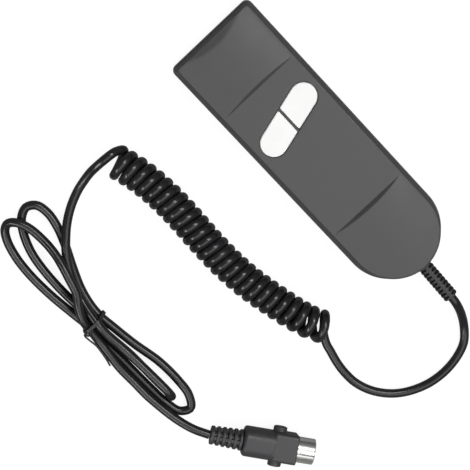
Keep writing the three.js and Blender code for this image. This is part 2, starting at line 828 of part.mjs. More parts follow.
/** One insulated core, from the wire plug to its place in the jacket. */
function core(i) {
  const spacing = wirePlugWidth / (coreCount + 1);
  const startX = spacing * (i - (coreCount - 1) / 2);
  const startZ = wirePlugBottom + wirePlugHeight / 2;
  const angle = radians([162, 234, 90, 306, 18][i]);
  const endX = coreCircle * Math.cos(angle);
  const endZ = cordExitHeight + coreCircle * Math.sin(angle);
  const startY = wirePlugBack - partGap;
  const endY = tailEndY + partGap;
  const straight = 3 * coreDiameter;
  const points = [[startX, startY, startZ], [startX, startY - straight, startZ]];
  for (const share of [0.3, 0.5, 0.7]) {
    const ease = share * share * (3 - 2 * share);
    points.push([
      startX + (endX - startX) * ease,
      startY + (endY - startY) * share,
      startZ + (endZ - startZ) * ease,
    ]);
  }
  points.push([endX, endY + straight, endZ], [endX, endY, endZ]);
  return tube(vectors(points), coreDiameter, 10, 6);
}

// ---------------------------------------------------------------- cord outside the handset
// Route points are in the order that the cord runs: lead, curl, run, bundle, end.
const leadRoute = vectors([
  [reliefEndX - 0.02, reliefEndY - partGap, cordExitHeight],
  [-1.1, -103, 9.7],
  [-1.9, -107.2, 8.2],
  [-3.1, -111.3, 5.9],
  [-4.9, -115.6, 3.6],
  [-8, -120.5, floorHeight],
  [-12.3, -124.7, floorHeight],
  [-20, -127.9, floorHeight],
  [-30, -129.2, floorHeight],
  [-40.1, -127.9, floorHeight],
  [-50.1, -123.7, floorHeight],
  [-57.3, -118.1, floorHeight],
  [-63, -110.2, floorHeight],
  [-66, -101.6, floorHeight],
  [-66.4, -94, floorHeight],
  [-65.7, -87.5, floorHeight],
  [-64, -80.3, floorHeight],
]);
const curlInRoute = vectors([
  [-63.9, -80, floorHeight],
  [-63.1, -76.6, floorHeight],
  [-61.6, -73.3, floorHeight],
  [-59.6, -70.2, floorHeight],
]);
const curlAxis = vectors([
  [-56.5, -68.3, 0],
  [-58.2, -65.3, 0],
  [-60.8, -59.7, 0],
  [-62.6, -54.1, 0],
  [-64, -48.9, 0],
  [-66.1, -39.5, 0],
  [-68, -30, 0],
  [-69.4, -20, 0],
  [-70.1, -10, 0],
  [-70.2, 0, 0],
  [-69.9, 10, 0],
  [-69.4, 20, 0],
  [-69.2, 31, 0],
  [-69.8, 42.5, 0],
  [-71.4, 53.5, 0],
  [-74.2, 64.3, 0],
]);
const curlOutRoute = vectors([
  [-70.9, 68, 11.6],
  [-73.7, 68.7, 13.3],
  [-77.5, 69, 13.1],
  [-82.5, 69.1, 11.4],
  [-86.7, 68.9, 9.4],
]);
const runRoute = vectors([
  [-87, 68.9, 9.25],
  [-91.9, 68, 7.2],
  [-97.8, 66.5, 5.6],
  [-104.3, 63.9, 5.2],
  [-109.8, 60.8, 5.6],
  [-114.8, 57.1, 6.2],
  [-118.4, 53.8, 6.7],
]);
const hankRoute = vectors([
  // over the top of the bundle and down to the narrow lower fold
  [-118.7, 53.5, 6.8],
  [-121.4, 50.8, 7],
  [-124.3, 47.4, 7],
  [-127.4, 42.9, 6.8],
  [-130.9, 36.6, 6.7],
  [-133.6, 30.1, 6.7],
  [-135.2, 23.9, 7.6],
  [-136.7, tieY, 10],
  [-137.3, 4.5, 9.3],
  [-136.9, -4.2, 8.4],
  [-136.5, -14, 8.3],
  [-136.3, -25.4, 8.4],
  [-136.2, -34, 8.8],
  [-136.4, -38, 8.5],
  [-137, -40.6, 6.7],
  [-137.6, -40.6, 4.3],
  [-137.7, -37.5, floorHeight],
  // back up to the right-hand upper fold
  [-137.8, -28, floorHeight],
  [-137.6, -12, 2.4],
  [-138.3, 4, 4.4],
  [-138.5, tieY, 5.5],
  [-138.8, 25, 3.8],
  [-139.2, 37, floorHeight],
  [-138.3, 50, floorHeight],
  [-136.4, 60, floorHeight],
  [-132.5, 69.2, floorHeight],
  [-127.6, 75.5, floorHeight],
  [-122.4, 77.6, floorHeight],
  [-118.1, 74.8, floorHeight],
  [-116.8, 68.5, floorHeight],
  [-118.3, 60.2, floorHeight],
  // down to the wide lower fold
  [-122.4, 50, floorHeight],
  [-127.4, 39.9, floorHeight],
  [-131.7, 30, floorHeight],
  [-134, 21, 2.5],
  [-134.6, tieY, 2.7],
  [-133.9, 4.3, floorHeight],
  [-132.4, -9, floorHeight],
  [-129.9, -24, floorHeight],
  [-129.8, -38, floorHeight],
  [-131.2, -47.1, floorHeight],
  [-135.3, -52.8, floorHeight],
  [-140.4, -50, floorHeight],
  [-142.2, -42, floorHeight],
  // up to the left-hand upper fold
  [-142.6, -30, floorHeight],
  [-142.5, -12, floorHeight],
  [-142.7, 2, 2.3],
  [-142.4, tieY, 2.8],
  [-143.6, 25, 2.5],
  [-144.8, 38, floorHeight],
  [-144.9, 52, floorHeight],
  [-143.6, 63, floorHeight],
  [-140.9, 71.8, 2.6],
  [-137.4, 76.9, 3.8],
  [-133.9, 78.2, 5.3],
  [-130.2, 75.6, 6.9],
  [-127.7, 69.5, 7.3],
  [-126.9, 60, 7.8],
  [-127.3, 52, 9.4],
  [-128.5, 45.7, 11],
  [-130.9, 37.8, 11.5],
  [-133.2, 31, 11.5],
  [-137.6, 24.8, 11.8],
  [-140.8, 18.3, 10.7],
  [-141.6, tieY, 9.2],
  [-142.9, 5.7, 7.5],
  [-143.9, -1.3, 7.1],
  [-145.4, -12.1, 6.3],
  [-145.6, -22.7, 5.9],
  [-145.7, -32, 6.1],
  [-145.3, -38.2, 6.1],
]);
const endRoute = vectors([
  [-145.1, -40.2, 6.1],
  [-144.2, -47.8, 6.5],
  [-142.6, -55.2, 7.1],
  [-140.5, -61.3, 7.8],
  [plugX - 0.35, plugY + 0.25, 8.1],
]);

/** Loops of the curly cord: a helix round an axis that lies on the floor, stretched open at its ends. */
function curlRoute() {
  const axis = new THREE.CatmullRomCurve3(curlAxis, false, 'centripetal');
  axis.arcLengthDivisions = 2000;
  const axisHeight = curlOuterDiameter / 2 + 0.05;
  const radius = (curlOuterDiameter - cordDiameter) / 2;
  const closePitch = curlCloseness * cordDiameter;
  const opening = curlLoosening * curlFade + curlEndLoosening * curlEndFade;
  const turns = Math.round((axis.getLength() - opening) / closePitch - 0.25) + 0.25;
  const steps = Math.round(turns * curlStepsPerTurn);
  // Advance per step: most in the first turns, a little more again in the last ones.
  const advance = [];
  for (let i = 0; i < steps; i += 1) {
    const turn = (i + 0.5) / curlStepsPerTurn;
    advance.push(closePitch + curlLoosening * Math.exp(-turn / curlFade)
      + curlEndLoosening * Math.exp((turn - turns) / curlEndFade));
  }
  const total = advance.reduce((sum, value) => sum + value, 0);
  const points = [];
  let travelled = 0;
  for (let i = 0; i <= steps; i += 1) {
    const share = travelled / total;
    const centre = axis.getPointAt(share);
    const along = axis.getTangentAt(share);
    const side = new THREE.Vector3(along.y, -along.x, 0).normalize();
    const angle = (2 * Math.PI * i) / curlStepsPerTurn - Math.PI / 2;
    // Each turn leans on the next one, but the first turns lean back and are skewed.
    const loose = Math.exp(-((i / curlStepsPerTurn / curlSkewFade) ** 2));
    const lean = curlLean - curlStartLean * loose;
    points.push(centre.clone()
      .addScaledVector(side, radius * Math.cos(angle))
      .addScaledVector(along, radius * (curlSkew * loose * Math.cos(angle) + lean * Math.sin(angle)))
      .setZ(axisHeight + radius * Math.sin(angle)));
    travelled += i < steps ? advance[i] : 0;
  }
  return [...curlInRoute, ...points, ...curlOutRoute];
}

/** Least gap between parts of one cord that are not neighbours along it, measured on points. */
function leastGap(route, diameter) {
  const path = new THREE.CatmullRomCurve3(route, false, 'centripetal');
  path.arcLengthDivisions = route.length * 20;
  const length = path.getLength();
  const spacing = 0.8;
  const points = path.getSpacedPoints(Math.round(length / spacing));
  const apart = Math.ceil((4 * diameter) / spacing);
  let least = Infinity;
  for (let i = 0; i < points.length; i += 1) {
    for (let j = i + apart; j < points.length; j += 1) {
      least = Math.min(least, points[i].distanceTo(points[j]));
    }
  }
  return { gap: least - diameter, length };
}

/** Outline that a band pulled round several round strands takes, as points in X and Z. */
function bandOutline(centres, radius) {
  const cloud = centres.flatMap(([x, z]) =>
    Array.from({ length: roundSides }, (_, i) => {
      const angle = (2 * Math.PI * i) / roundSides;
      return [x + radius * Math.cos(angle), z + radius * Math.sin(angle)];
    }));
  cloud.sort((a, b) => a[0] - b[0] || a[1] - b[1]);
  const turn = (o, a, b) => (a[0] - o[0]) * (b[1] - o[1]) - (a[1] - o[1]) * (b[0] - o[0]);
  const half = (points) => {
    const chain = [];
    for (const point of points) {
      while (chain.length > 1 && turn(chain[chain.length - 2], chain[chain.length - 1], point) <= 0) {
        chain.pop();
      }
      chain.push(point);
    }
    return chain.slice(0, -1);
  };
  const hull = [...half(cloud), ...half([...cloud].reverse())];
  return hull.map(([x, z]) => new THREE.Vector2(x, z));
}

function twistTie() {
  const route = new THREE.CatmullRomCurve3(hankRoute, false, 'centripetal');
  const path = route.getPoints(hankRoute.length * 30);
  const strands = path
    .filter((point) => Math.abs(point.y - tieY) < tieWidth)
    .map((point) => [point.x, point.z]);
  const inner = bandOutline(strands, cordRadius + partGap);
  const outer = bandOutline(strands, cordRadius + partGap + tieThickness);
  const shape = new THREE.Shape(outer);
  shape.holes.push(new THREE.Path(inner));
  // The outline is drawn in X and Z, so it is stood up and centred on the tie.
  const band = new THREE.ExtrudeGeometry(shape, { depth: tieWidth, bevelEnabled: false })
    .rotateX(Math.PI / 2)
    .translate(0, tieY + tieWidth / 2, 0);
  // The tail lies along the last strand of the bundle, on its left.
  const beside = (share, degrees, apart) => {
    const y = tieY - share * tieTailLength;
    const strand = path.filter((point) => point.y >= y).pop();
    const reach = cordRadius + apart;
    return [strand.x - reach * Math.cos(radians(degrees)), y, strand.z + reach * Math.sin(radians(degrees))];
  };
  const free = tieTailDiameter / 2 + partGap;
  const tail = tube(
    vectors([
      beside(0, 0, partGap + tieThickness * 0.6),
      beside(0.06, 2, free + 0.9),
      beside(0.2, 12, free + 0.4),
      beside(0.4, 42, free),
      beside(0.65, 45, free),
      beside(0.83, 40, free),
      beside(1, 18, free + 0.1),
    ]),
    tieTailDiameter, 8, 6,
  );
  return geometryOf(join(solid(band), solid(tail)));
}

// ---------------------------------------------------------------- plug
// The plug is drawn along +X from the cord's end of its boot, with its axis on the X axis.
const plugBodyStart = bootLength + partGap;
const plugBlockStart = plugBodyStart + plugRearLength;
const plugFront = plugBlockStart + plugBlockLength;
const shellStart = plugFront - shellSeat;
const shellEnd = plugFront + shellReach;

/** A square with round corners, in the plane across the plug's axis. */
function roundedSection(width, height, round) {
  const x = width / 2 - round;
  const y = height / 2 - round;
  const shape = new THREE.Shape();
  shape.absarc(x, y, round, 0, Math.PI / 2);
  shape.absarc(-x, y, round, Math.PI / 2, Math.PI);
  shape.absarc(-x, -y, round, Math.PI, 1.5 * Math.PI);
  shape.absarc(x, -y, round, 1.5 * Math.PI, 2 * Math.PI);
  return shape;
}

/** Extrudes a section in its YZ plane from x0 to x1. */
function barX(shape, x0, x1, curveSegments) {
  const geometry = new THREE.ExtrudeGeometry(shape, { depth: x1 - x0, bevelEnabled: false, curveSegments });
  return geometry.rotateX(Math.PI / 2).rotateZ(Math.PI / 2).translate(x0, 0, 0);
}

function plugBoot() {
  const sleeve = rodX(bootStartRadius, bootEndRadius, 0, bootLength);
  const pitch = bootLength / (bootSlotCount + 0.6);
  const reach = bootEndRadius + 1;
  // Four webs join the rings, a little lower than they are.
  const webs = [0, 90].map((degrees) => solid(
    block([0, -bootWebWidth / 2, -reach], [bootLength, bootWebWidth / 2, reach])
      .rotateX((degrees + bootWebTurn) * Math.PI / 180),
  ));
  const cuts = [];
  for (let i = 0; i < bootSlotCount; i += 1) {
    const middle = pitch * (i + 0.85);
    const [from, to] = [middle - bootSlotWidth / 2, middle + bootSlotWidth / 2];
    const radius = bootStartRadius + (bootEndRadius - bootStartRadius) * middle / bootLength - bootWebDrop;
    cuts.push(cut(solid(rodX(reach, reach, from, to)), solid(rodX(radius, radius, from - 1, to + 1))));
    cuts.push(cut(
      solid(rodX(radius + 0.1, radius + 0.1, from, to)),
      solid(rodX(bootCoreRadius, bootCoreRadius, from - 1, to + 1)),
      ...webs,
    ));
  }
  return geometryOf(cut(solid(sleeve), ...cuts));
}

function plugBody() {
  const lugX = plugBlockStart + lugInset;
  const lugs = new THREE.CylinderGeometry(lugRadius, lugRadius, lugSpan, 20).translate(lugX, 0, 0);
  const bore = shellRadius + partGap;
  const seat = rodX(bore, bore, shellStart - partGap, plugFront + 1, shellSides);
  const rear = roundedSection(plugRearWidth, plugRearWidth, plugRearRound);
  const front = roundedSection(plugBlockWidth, plugBlockHeight, plugBlockRound);
  const body = join(
    solid(barX(rear, plugBodyStart, plugBlockStart + 1, 5)),
    solid(barX(front, plugBlockStart, plugFront, 3)),
    solid(lugs),
  );
  return geometryOf(cut(body, solid(seat)));
}

function plugShell() {
  const outside = solid(rodX(shellRadius, shellRadius, shellStart, shellEnd, shellSides));
  const bore = shellRadius - shellWall;
  const inside = solid(rodX(bore, bore, shellStart - 1, shellEnd + 1, shellSides));
  const groove = solid(block(
    [shellStart - 1, -keyWidth / 2, bore - keyDepth],
    [shellEnd + 1, keyWidth / 2, shellRadius + 1],
  ));
  // The groove is pressed inwards, so its walls are thicker than the cut.
  const grooveWall = solid(block(
    [shellStart, -keyWidth / 2 - shellWall, bore - keyDepth - shellWall],
    [shellEnd, keyWidth / 2 + shellWall, bore + shellWall / 2],
  ));
  return geometryOf(cut(join(cut(outside, inside), grooveWall.intersect(outside)), groove));
}

const pinAngles = Array.from({ length: pinCount }, (_, i) => Math.PI + (Math.PI * i) / (pinCount - 1));

function plugInsert() {
  const radius = shellRadius - shellWall - partGap;
  const end = shellStart + insertLength;
  const disc = rodX(radius, radius, shellStart, end, shellSides);
  const key = block(
    [shellStart - 1, -keyWidth / 2 - shellWall - partGap, radius - keyDepth - shellWall - partGap],
    [end + 1, keyWidth / 2 + shellWall + partGap, radius + 1],
  );
  const seats = pinAngles.map((angle) =>
    rodX(pinRadius + partGap, pinRadius + partGap, end - pinSeat - partGap, end + 1, 12)
      .translate(0, pinCircle * Math.cos(angle), pinCircle * Math.sin(angle)));
  return geometryOf(cut(solid(disc), solid(key), ...seats.map(solid)));
}

function plugPin(angle) {
  const start = shellStart + insertLength - pinSeat;
  const length = pinSeat + pinReach;
  const tip = pinRadius * 0.5;
  const profile = [[0, 0], [pinRadius, 0], [pinRadius, length - tip], [tip, length], [0, length]];
  const pin = new THREE.LatheGeometry(profile.map(([x, y]) => new THREE.Vector2(x, y)), 10);
  return pin.rotateZ(-Math.PI / 2)
    .translate(start, pinCircle * Math.cos(angle), pinCircle * Math.sin(angle));
}

// ---------------------------------------------------------------- assembly
place('rear_cover', rearCover(), colours.housing);
place('front_cover', frontCover(), colours.housing);
placeScrews('cover_screw', coverScrewSpots, coverScrewHeadTop, true, coverScrewHead, coverScrewHeadDepth,
  coverScrewRadius, coverScrewLength);
place('circuit_board', circuitBoard(), colours.board);
placeScrews('board_screw', boardScrewSpots, boardTop + partGap, false, smallScrewHead, smallScrewHeadDepth,
  smallScrewRadius, smallScrewLength);
for (const [name, side] of [['left', -1], ['right', 1]]) {
  place(`${name}_button_cap`, buttonCap(side), colours.button);
  place(`${name}_switch_plunger`, switchPlunger(side), colours.plunger);
  place(`${name}_switch`, switchCase(side), colours.switchCase);
}
place('board_connector', boardConnector(), colours.connector);
place('wire_plug', wirePlug(), colours.connector);
for (let i = 0; i < coreCount; i += 1) {
  place(`core_${i + 1}`, core(i), { color: coreColours[i], roughness: 0.45, metalness: 0 });
}
place('cable_tail',
  tube(vectors([
    [0, tailEndY, cordExitHeight],
    [0, clampY, cordExitHeight],
    [0, roundEndY, cordExitHeight],
    [reliefEndX, reliefEndY, cordExitHeight],
  ]), cordDiameter, 8, 10),
  colours.cord);
place('cable_clamp', cableClamp(), colours.switchCase);
placeScrews('clamp_screw', clampScrewSpots, clampBottom + clampThickness + partGap, false, smallScrewHead,
  smallScrewHeadDepth, smallScrewRadius, smallScrewLength);
place('strain_relief', strainRelief(), colours.cord);

const curlPoints = curlRoute();
place('cord_lead', tube(leadRoute, cordDiameter, 16, 8), colours.cord);
place('cord_curl', tube(curlPoints, woundDiameter, curlPoints.length + 4, curlSides), colours.cord);
place('cord_run', tube(runRoute, cordDiameter, 5, 8), colours.cord);
place('cord_hank', tube(hankRoute, woundDiameter, hankSteps, hankSides), colours.cord);
place('cord_end', tube(endRoute, cordDiameter, 4, 8), colours.cord);
place('twist_tie', twistTie(), colours.cord);

const plug = new THREE.Group();
const twist = radians(Math.abs(plugTwist));
plug.position.set(
  plugX,
  plugY,
  (plugBlockWidth / 2 - plugBlockRound) * Math.sin(twist)
    + (plugBlockHeight / 2 - plugBlockRound) * Math.cos(twist) + plugBlockRound + 0.03,
);
plug.rotation.set(radians(plugTwist), 0, radians(plugHeading), 'ZYX');
object.add(plug);
place('plug_boot', plugBoot(), colours.plug, plug);
place('plug_body', plugBody(), colours.plug, plug);
place('plug_shell', plugShell(), colours.nickel, plug);
place('plug_insert', plugInsert(), colours.switchCase, plug);
pinAngles.forEach((angle, i) => place(`pin_${i + 1}`, plugPin(angle), colours.nickel, plug));

for (const [name, route] of [['cord_curl', curlPoints], ['cord_hank', hankRoute]]) {
  const { gap, length } = leastGap(route, woundDiameter);
  console.log(`${name}: least gap to itself ${gap.toFixed(2)} mm, length ${length.toFixed(0)} mm`);
}

export default object;
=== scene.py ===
"""A wired hand control, dressed for a studio picture.

Two white push buttons sit in a slanted pill in the grey face of a flat handset. A curly cord, a tied bundle
and a round plug lie beside it. All lengths are in millimetres until a mesh or a route is made, when they
become metres.
"""

from __future__ import annotations

import json
import logging
import math
from dataclasses import dataclass, field
from enum import Enum
from typing import Callable, Iterable, Sequence

import bmesh
import bpy
import numpy as np
from mathutils import Euler, Matrix, Vector

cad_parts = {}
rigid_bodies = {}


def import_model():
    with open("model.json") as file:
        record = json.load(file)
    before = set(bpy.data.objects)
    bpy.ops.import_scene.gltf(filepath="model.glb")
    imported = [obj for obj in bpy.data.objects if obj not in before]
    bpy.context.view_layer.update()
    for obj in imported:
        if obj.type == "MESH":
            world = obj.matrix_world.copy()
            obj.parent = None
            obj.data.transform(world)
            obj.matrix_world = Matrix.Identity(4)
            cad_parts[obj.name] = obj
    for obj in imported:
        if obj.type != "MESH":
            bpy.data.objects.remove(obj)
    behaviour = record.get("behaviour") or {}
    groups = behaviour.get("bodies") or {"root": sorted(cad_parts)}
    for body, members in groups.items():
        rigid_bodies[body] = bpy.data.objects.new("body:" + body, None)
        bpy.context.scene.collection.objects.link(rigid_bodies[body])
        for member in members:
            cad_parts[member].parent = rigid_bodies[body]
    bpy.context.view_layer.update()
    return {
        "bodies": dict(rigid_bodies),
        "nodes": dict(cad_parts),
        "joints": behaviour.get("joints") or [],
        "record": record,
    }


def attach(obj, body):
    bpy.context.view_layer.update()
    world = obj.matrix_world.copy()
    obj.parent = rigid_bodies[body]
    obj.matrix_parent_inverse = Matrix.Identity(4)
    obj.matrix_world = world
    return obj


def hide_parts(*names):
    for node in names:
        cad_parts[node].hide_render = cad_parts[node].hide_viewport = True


LOG = logging.getLogger("hand_control")
MM = 0.001
HANDSET = "handset"

Point = Sequence[float]
Triple = tuple[float, float, float]
Pair = tuple[float, float]
Edge = tuple[float, float, float]


class Side(Enum):
    """Which half of the pill a button fills."""

    LEFT = -1
    RIGHT = 1

    @property
    def body(self) -> str:
        """Name of the body that the button moves as."""
        return f"{self.name.lower()}_button"


# --- Colour and nodes ---


def linear(colour: str) -> tuple[float, float, float, float]:
    """Turns an sRGB hex value such as "#5b5b5b" into the linear colour that a shader takes.

    Args:
        colour: Six hex digits, with a hash sign in front.

    Returns:
        Red, green, blue and an alpha of 1.
    """
    values = [int(colour[i : i + 2], 16) / 255 for i in (1, 3, 5)]
    red, green, blue = [v / 12.92 if v <= 0.04045 else ((v + 0.055) / 1.055) ** 2.4 for v in values]
    return red, green, blue, 1.0


def add_node(tree: bpy.types.NodeTree, kind: str, inputs: dict | None = None, **settings) -> bpy.types.Node:
    """Adds one node, sets it up and wires it.

    Args:
        tree: The node tree that it goes into.
        kind: Blender's name for the node's type.
        inputs: Socket name or number to a plain value, or to the socket that feeds it.
        **settings: Properties of the node itself.

    Returns:
        The new node.
    """
    node = tree.nodes.new(kind)
    for name, value in settings.items():
        setattr(node, name, value)
    for name, value in (inputs or {}).items():
        if isinstance(value, bpy.types.NodeSocket):
            tree.links.new(value, node.inputs[name])
        else:
            node.inputs[name].default_value = value
    return node


@dataclass(frozen=True)
class Finish:
    """A finish with two close tones, a grain and a roughness, such as moulded plastic.

    Attributes:
        name: What the material is, in plain words.
        light: The lighter of its two tones, which a slow noise spreads over it at random.
        dark: The darker of its two tones.
        roughness: How wide a highlight spreads on it.
        metallic: 1 on a metal and 0 on anything else.
        ior: Index of refraction, typical for the material. Metals keep the default.
        grain: Width of one grain of the surface texture, in millimetres.
        relief: Height of that grain, in millimetres.
        cloud: Size of the slow change from tone to tone, in millimetres.
        wear: How much the roughness changes with the slow change.
        coat: Strength of a clear gloss over it.
        stretch: How much longer than wide its grain is along the cord. 0 takes the grain from the object's
            own space, and any other value from the piece's UV map, which is in millimetres.
    """

    name: str
    light: str
    dark: str
    roughness: float
    metallic: float = 0.0
    ior: float = 1.5
    grain: float = 0.5
    relief: float = 0.01
    cloud: float = 12.0
    wear: float = 0.06
    coat: float = 0.0
    stretch: float = 0.0

    def build(self) -> bpy.types.Material:
        """Makes the material, or finds it if it was made before.

        Returns:
            The material, with its pattern on Object or UV coordinates.
        """
        found = bpy.data.materials.get(self.name)
        if found:
            return found
        material = bpy.data.materials.new(self.name)
        material.use_nodes = True
        material.diffuse_color = linear(self.light)
        tree = material.node_tree
        tree.nodes.clear()
        places = add_node(tree, "ShaderNodeTexCoord")
        spot = places.outputs["Object"]
        slow = {"Vector": spot, "Scale": 1 / (self.cloud * MM), "Detail": 3.0, "Roughness": 0.55}
        cloud = add_node(tree, "ShaderNodeTexNoise", slow)
        if self.stretch:
            across, along = 1 / self.grain, 1 / (self.grain * self.stretch)
            squeezed = add_node(
                tree, "ShaderNodeMapping", {"Vector": places.outputs["UV"], "Scale": (across, along, 1.0)}
            )
            grain_inputs = {"Vector": squeezed.outputs["Vector"], "Scale": 1.0}
        else:
            grain_inputs = {"Vector": spot, "Scale": 1 / (self.grain * MM)}
        grain = add_node(tree, "ShaderNodeTexNoise", {**grain_inputs, "Detail": 2.0, "Roughness": 0.6})
        tone = add_node(tree, "ShaderNodeValToRGB", {"Fac": cloud.outputs["Fac"]})
        for stop, place, colour in zip(tone.color_ramp.elements, (0.35, 0.65), (self.dark, self.light)):
            stop.position = place
            stop.color = linear(colour)
        rough = add_node(
            tree,
            "ShaderNodeMapRange",
            {
                "Value": cloud.outputs["Fac"],
                "From Min": 0.3,
                "From Max": 0.7,
                "To Min": self.roughness - self.wear,
                "To Max": self.roughness + self.wear,
            },
        )
        raised = {"Height": grain.outputs["Fac"], "Distance": self.relief * MM, "Strength": 1.0}
        bump = add_node(tree, "ShaderNodeBump", raised)
        shader = add_node(
            tree,
            "ShaderNodeBsdfPrincipled",
            {
                "Base Color": tone.outputs["Color"],
                "Roughness": rough.outputs["Result"],
                "Metallic": self.metallic,
                "IOR": self.ior,
                "Coat Weight": self.coat,
                "Normal": bump.outputs["Normal"],
            },
        )
        add_node(tree, "ShaderNodeOutputMaterial", {"Surface": shader.outputs["BSDF"]})
        return material


# ABS moulded in a spark-eroded tool: a fine even grain that spreads the light, and no shine of its own.
SPARKED_ABS = Finish("spark-textured grey ABS", "#4a4a4b", "#464647", 0.5, ior=1.54, grain=0.45, relief=0.012)
# The same look in softer vinyl: the plug's dark grey, a little glossier than the handset.
PLUG_VINYL = Finish("moulded dark grey vinyl", "#3e3e40", "#3a3a3c", 0.42, ior=1.53, grain=0.4, relief=0.008)
# White ABS from a finely ground tool: bright, with a soft highlight at its edges.
BUTTON_ABS = Finish("satin white ABS", "#fafaf9", "#f6f6f5", 0.35, ior=1.54, grain=0.6, relief=0.003)
# Plasticised PVC drawn through a die: smooth and slightly waxy, with faint lines along the cord.
CORD_VINYL = Finish(
    "extruded dark grey vinyl", "#222224", "#1d1d1f", 0.22, ior=1.53, grain=0.5, relief=0.006, stretch=40.0
)
# The same vinyl moulded round the cord, more matt where the tool was sparked.
RELIEF_VINYL = Finish("moulded black vinyl", "#303032", "#2a2a2c", 0.45, ior=1.53, grain=0.4, relief=0.008)
# Thin vinyl over an iron wire, which takes small dents where it is bent.
TIE_VINYL = Finish("vinyl-covered tie wire", "#262628", "#1f1f21", 0.38, ior=1.53, grain=0.8, relief=0.03)
# Nickel over drawn steel: bright and slightly warm, with wide soft reflections.
NICKEL = Finish("nickel-plated steel", "#f2f1ee", "#eae9e5", 0.3, 1.0, grain=1.2, relief=0.002, wear=0.05)
# Zinc over cold-headed steel: duller, blue-grey.
ZINC = Finish("zinc-plated screw steel", "#b4b8bd", "#9ea3a9", 0.38, 1.0, grain=0.5, relief=0.006, wear=0.1)
# Phenolic insert that carries the pins: black and matt.
PHENOLIC = Finish("moulded black phenolic", "#232325", "#1d1d1f", 0.5, ior=1.6, grain=0.3, relief=0.006)
# Glass-fibre laminate under a green lacquer: an even shine over a faint weave.
LAMINATE = Finish(
    "green lacquered laminate", "#2f6b3c", "#285e35", 0.35, ior=1.55, grain=0.9, relief=0.01, coat=0.4
)
# Nylon of the connector: cream and slightly clear.
NYLON = Finish("natural nylon", "#e6e0cb", "#ddd6bf", 0.45, ior=1.53, grain=0.5, relief=0.004)
# Red acetal of the switch plungers, smooth because it slides.
ACETAL = Finish("red acetal", "#b2332a", "#a52d25", 0.3, ior=1.48, grain=0.5, relief=0.002)
# Thin coloured PVC over each core's copper: bright, a little glossy.
CORE_FINISHES = [
    Finish(f"{colour} core insulation", light, dark, 0.35, ior=1.53, grain=0.4, relief=0.004)
    for colour, light, dark in (
        ("brown", "#6d3f28", "#643922"),
        ("yellow", "#d8be38", "#ccb232"),
        ("green", "#3c7d46", "#36723f"),
        ("white", "#e8e8e6", "#dededb"),
        ("dark", "#3a3a3c", "#333335"),
    )
]


# --- Shapes ---


def corner_outline(edges: Sequence[Edge], radii: Sequence[float], steps: int = 8) -> list[Pair]:
    """Makes a convex outline with rounded corners, always with the same number of points.

    Args:
        edges: Each straight edge as the two parts of its outward normal and its distance, in order.
        radii: Radius of the corner that follows each edge.
        steps: Facets in each corner.

    Returns:
        The points, counter-clockwise.
    """
    points = []
    for i, (ax, ay, ac) in enumerate(edges):
        bx, by, bc = edges[(i + 1) % len(edges)]
        radius = radii[i]
        cross = ax * by - ay * bx
        a, b = ac - radius, bc - radius
        centre_x, centre_y = (a * by - b * ay) / cross, (ax * b - bx * a) / cross
        start, end = math.atan2(ay, ax), math.atan2(by, bx)
        end += 2 * math.pi if end < start else 0
        for k in range(steps + 1):
            angle = start + (end - start) * k / steps
            points.append((centre_x + radius * math.cos(angle), centre_y + radius * math.sin(angle)))
    return points


def rectangle(width: float, height: float, radius: float, steps: int = 8, inset: float = 0.0) -> list[tuple]:
    """Makes a rounded rectangle about the origin.

    Args:
        width: Its size along the first axis.
        height: Its size along the second axis.
        radius: Its corner radius.
        steps: Facets in each corner.
        inset: How far the whole outline is moved inwards.

    Returns:
        The points, counter-clockwise.
    """
    x, y = width / 2 - inset, height / 2 - inset
    round_to = max(radius - inset, 0.02)
    return corner_outline([(1, 0, x), (0, 1, y), (-1, 0, x), (0, -1, y)], [round_to] * 4, steps)


def circle(radius: float, sides: int) -> list[Pair]:
    """Makes a regular outline round the origin.

    Args:
        radius: Its radius.
        sides: How many points it has.

    Returns:
        The points, counter-clockwise.
    """
    turns = [2 * math.pi * i / sides for i in range(sides)]
    return [(radius * math.cos(t), radius * math.sin(t)) for t in turns]


def bend(start: Point, control: Point, end: Point, steps: int) -> list[tuple[float, ...]]:
    """Makes a short curve between two points, pulled towards a third.

    Args:
        start: Where it begins.
        control: The point that it leans to.
        end: Where it ends.
        steps: How many pieces it has.

    Returns:
        The points, both ends included.
    """
    found = []
    for k in range(steps + 1):
        t = k / steps
        found.append(
            tuple((1 - t) ** 2 * a + 2 * t * (1 - t) * b + t * t * c for a, b, c in zip(start, control, end))
        )
    return found


def quarter(steps: int) -> list[Pair]:
    """Cosine and sine of even angles from 0 to 90 degrees, both included."""
    return [(math.cos(math.pi / 2 * k / steps), math.sin(math.pi / 2 * k / steps)) for k in range(steps + 1)]


def rolled(start: Point, end: Point, edge: float) -> list[Point]:
    """Makes a profile from one place to another, with both of its corners rounded off.

    Args:
        start: Its first place along the axis, and its radius there.
        end: Its last place, and its radius there.
        edge: How far the rounding reaches.

    Returns:
        The points.
    """
    (x0, r0), (x1, r1) = start, end
    first = bend((x0, r0 - edge), (x0, r0), (x0 + edge, r0), 4)
    return [*first, *bend((x1 - edge, r1), (x1, r1), (x1, r1 - edge), 4)]


def lengthwise(height: float) -> Matrix:
    """The move that lays the X axis along the handset, at a height."""
    return Matrix.Translation((0, 0, height)) @ Matrix.Rotation(math.pi / 2, 4, "Z")


def soft_least(a: float, b: float, width: float) -> float:
    """The smaller of two values, rounded off where they cross.

    Args:
        a: The first value.
        b: The second value.
        width: How wide the rounding is.

    Returns:
        The blended value.
    """
    return min(a, b) - max(width - abs(a - b), 0.0) ** 2 / (4 * width)


def put(name: str, data: bpy.types.ID) -> bpy.types.Object:
    """Puts a new object into the scene.

    Args:
        name: The object's name.
        data: Its mesh, light or camera.

    Returns:
        The object.
    """
    piece = bpy.data.objects.new(name, data)
    bpy.context.scene.collection.objects.link(piece)
    return piece


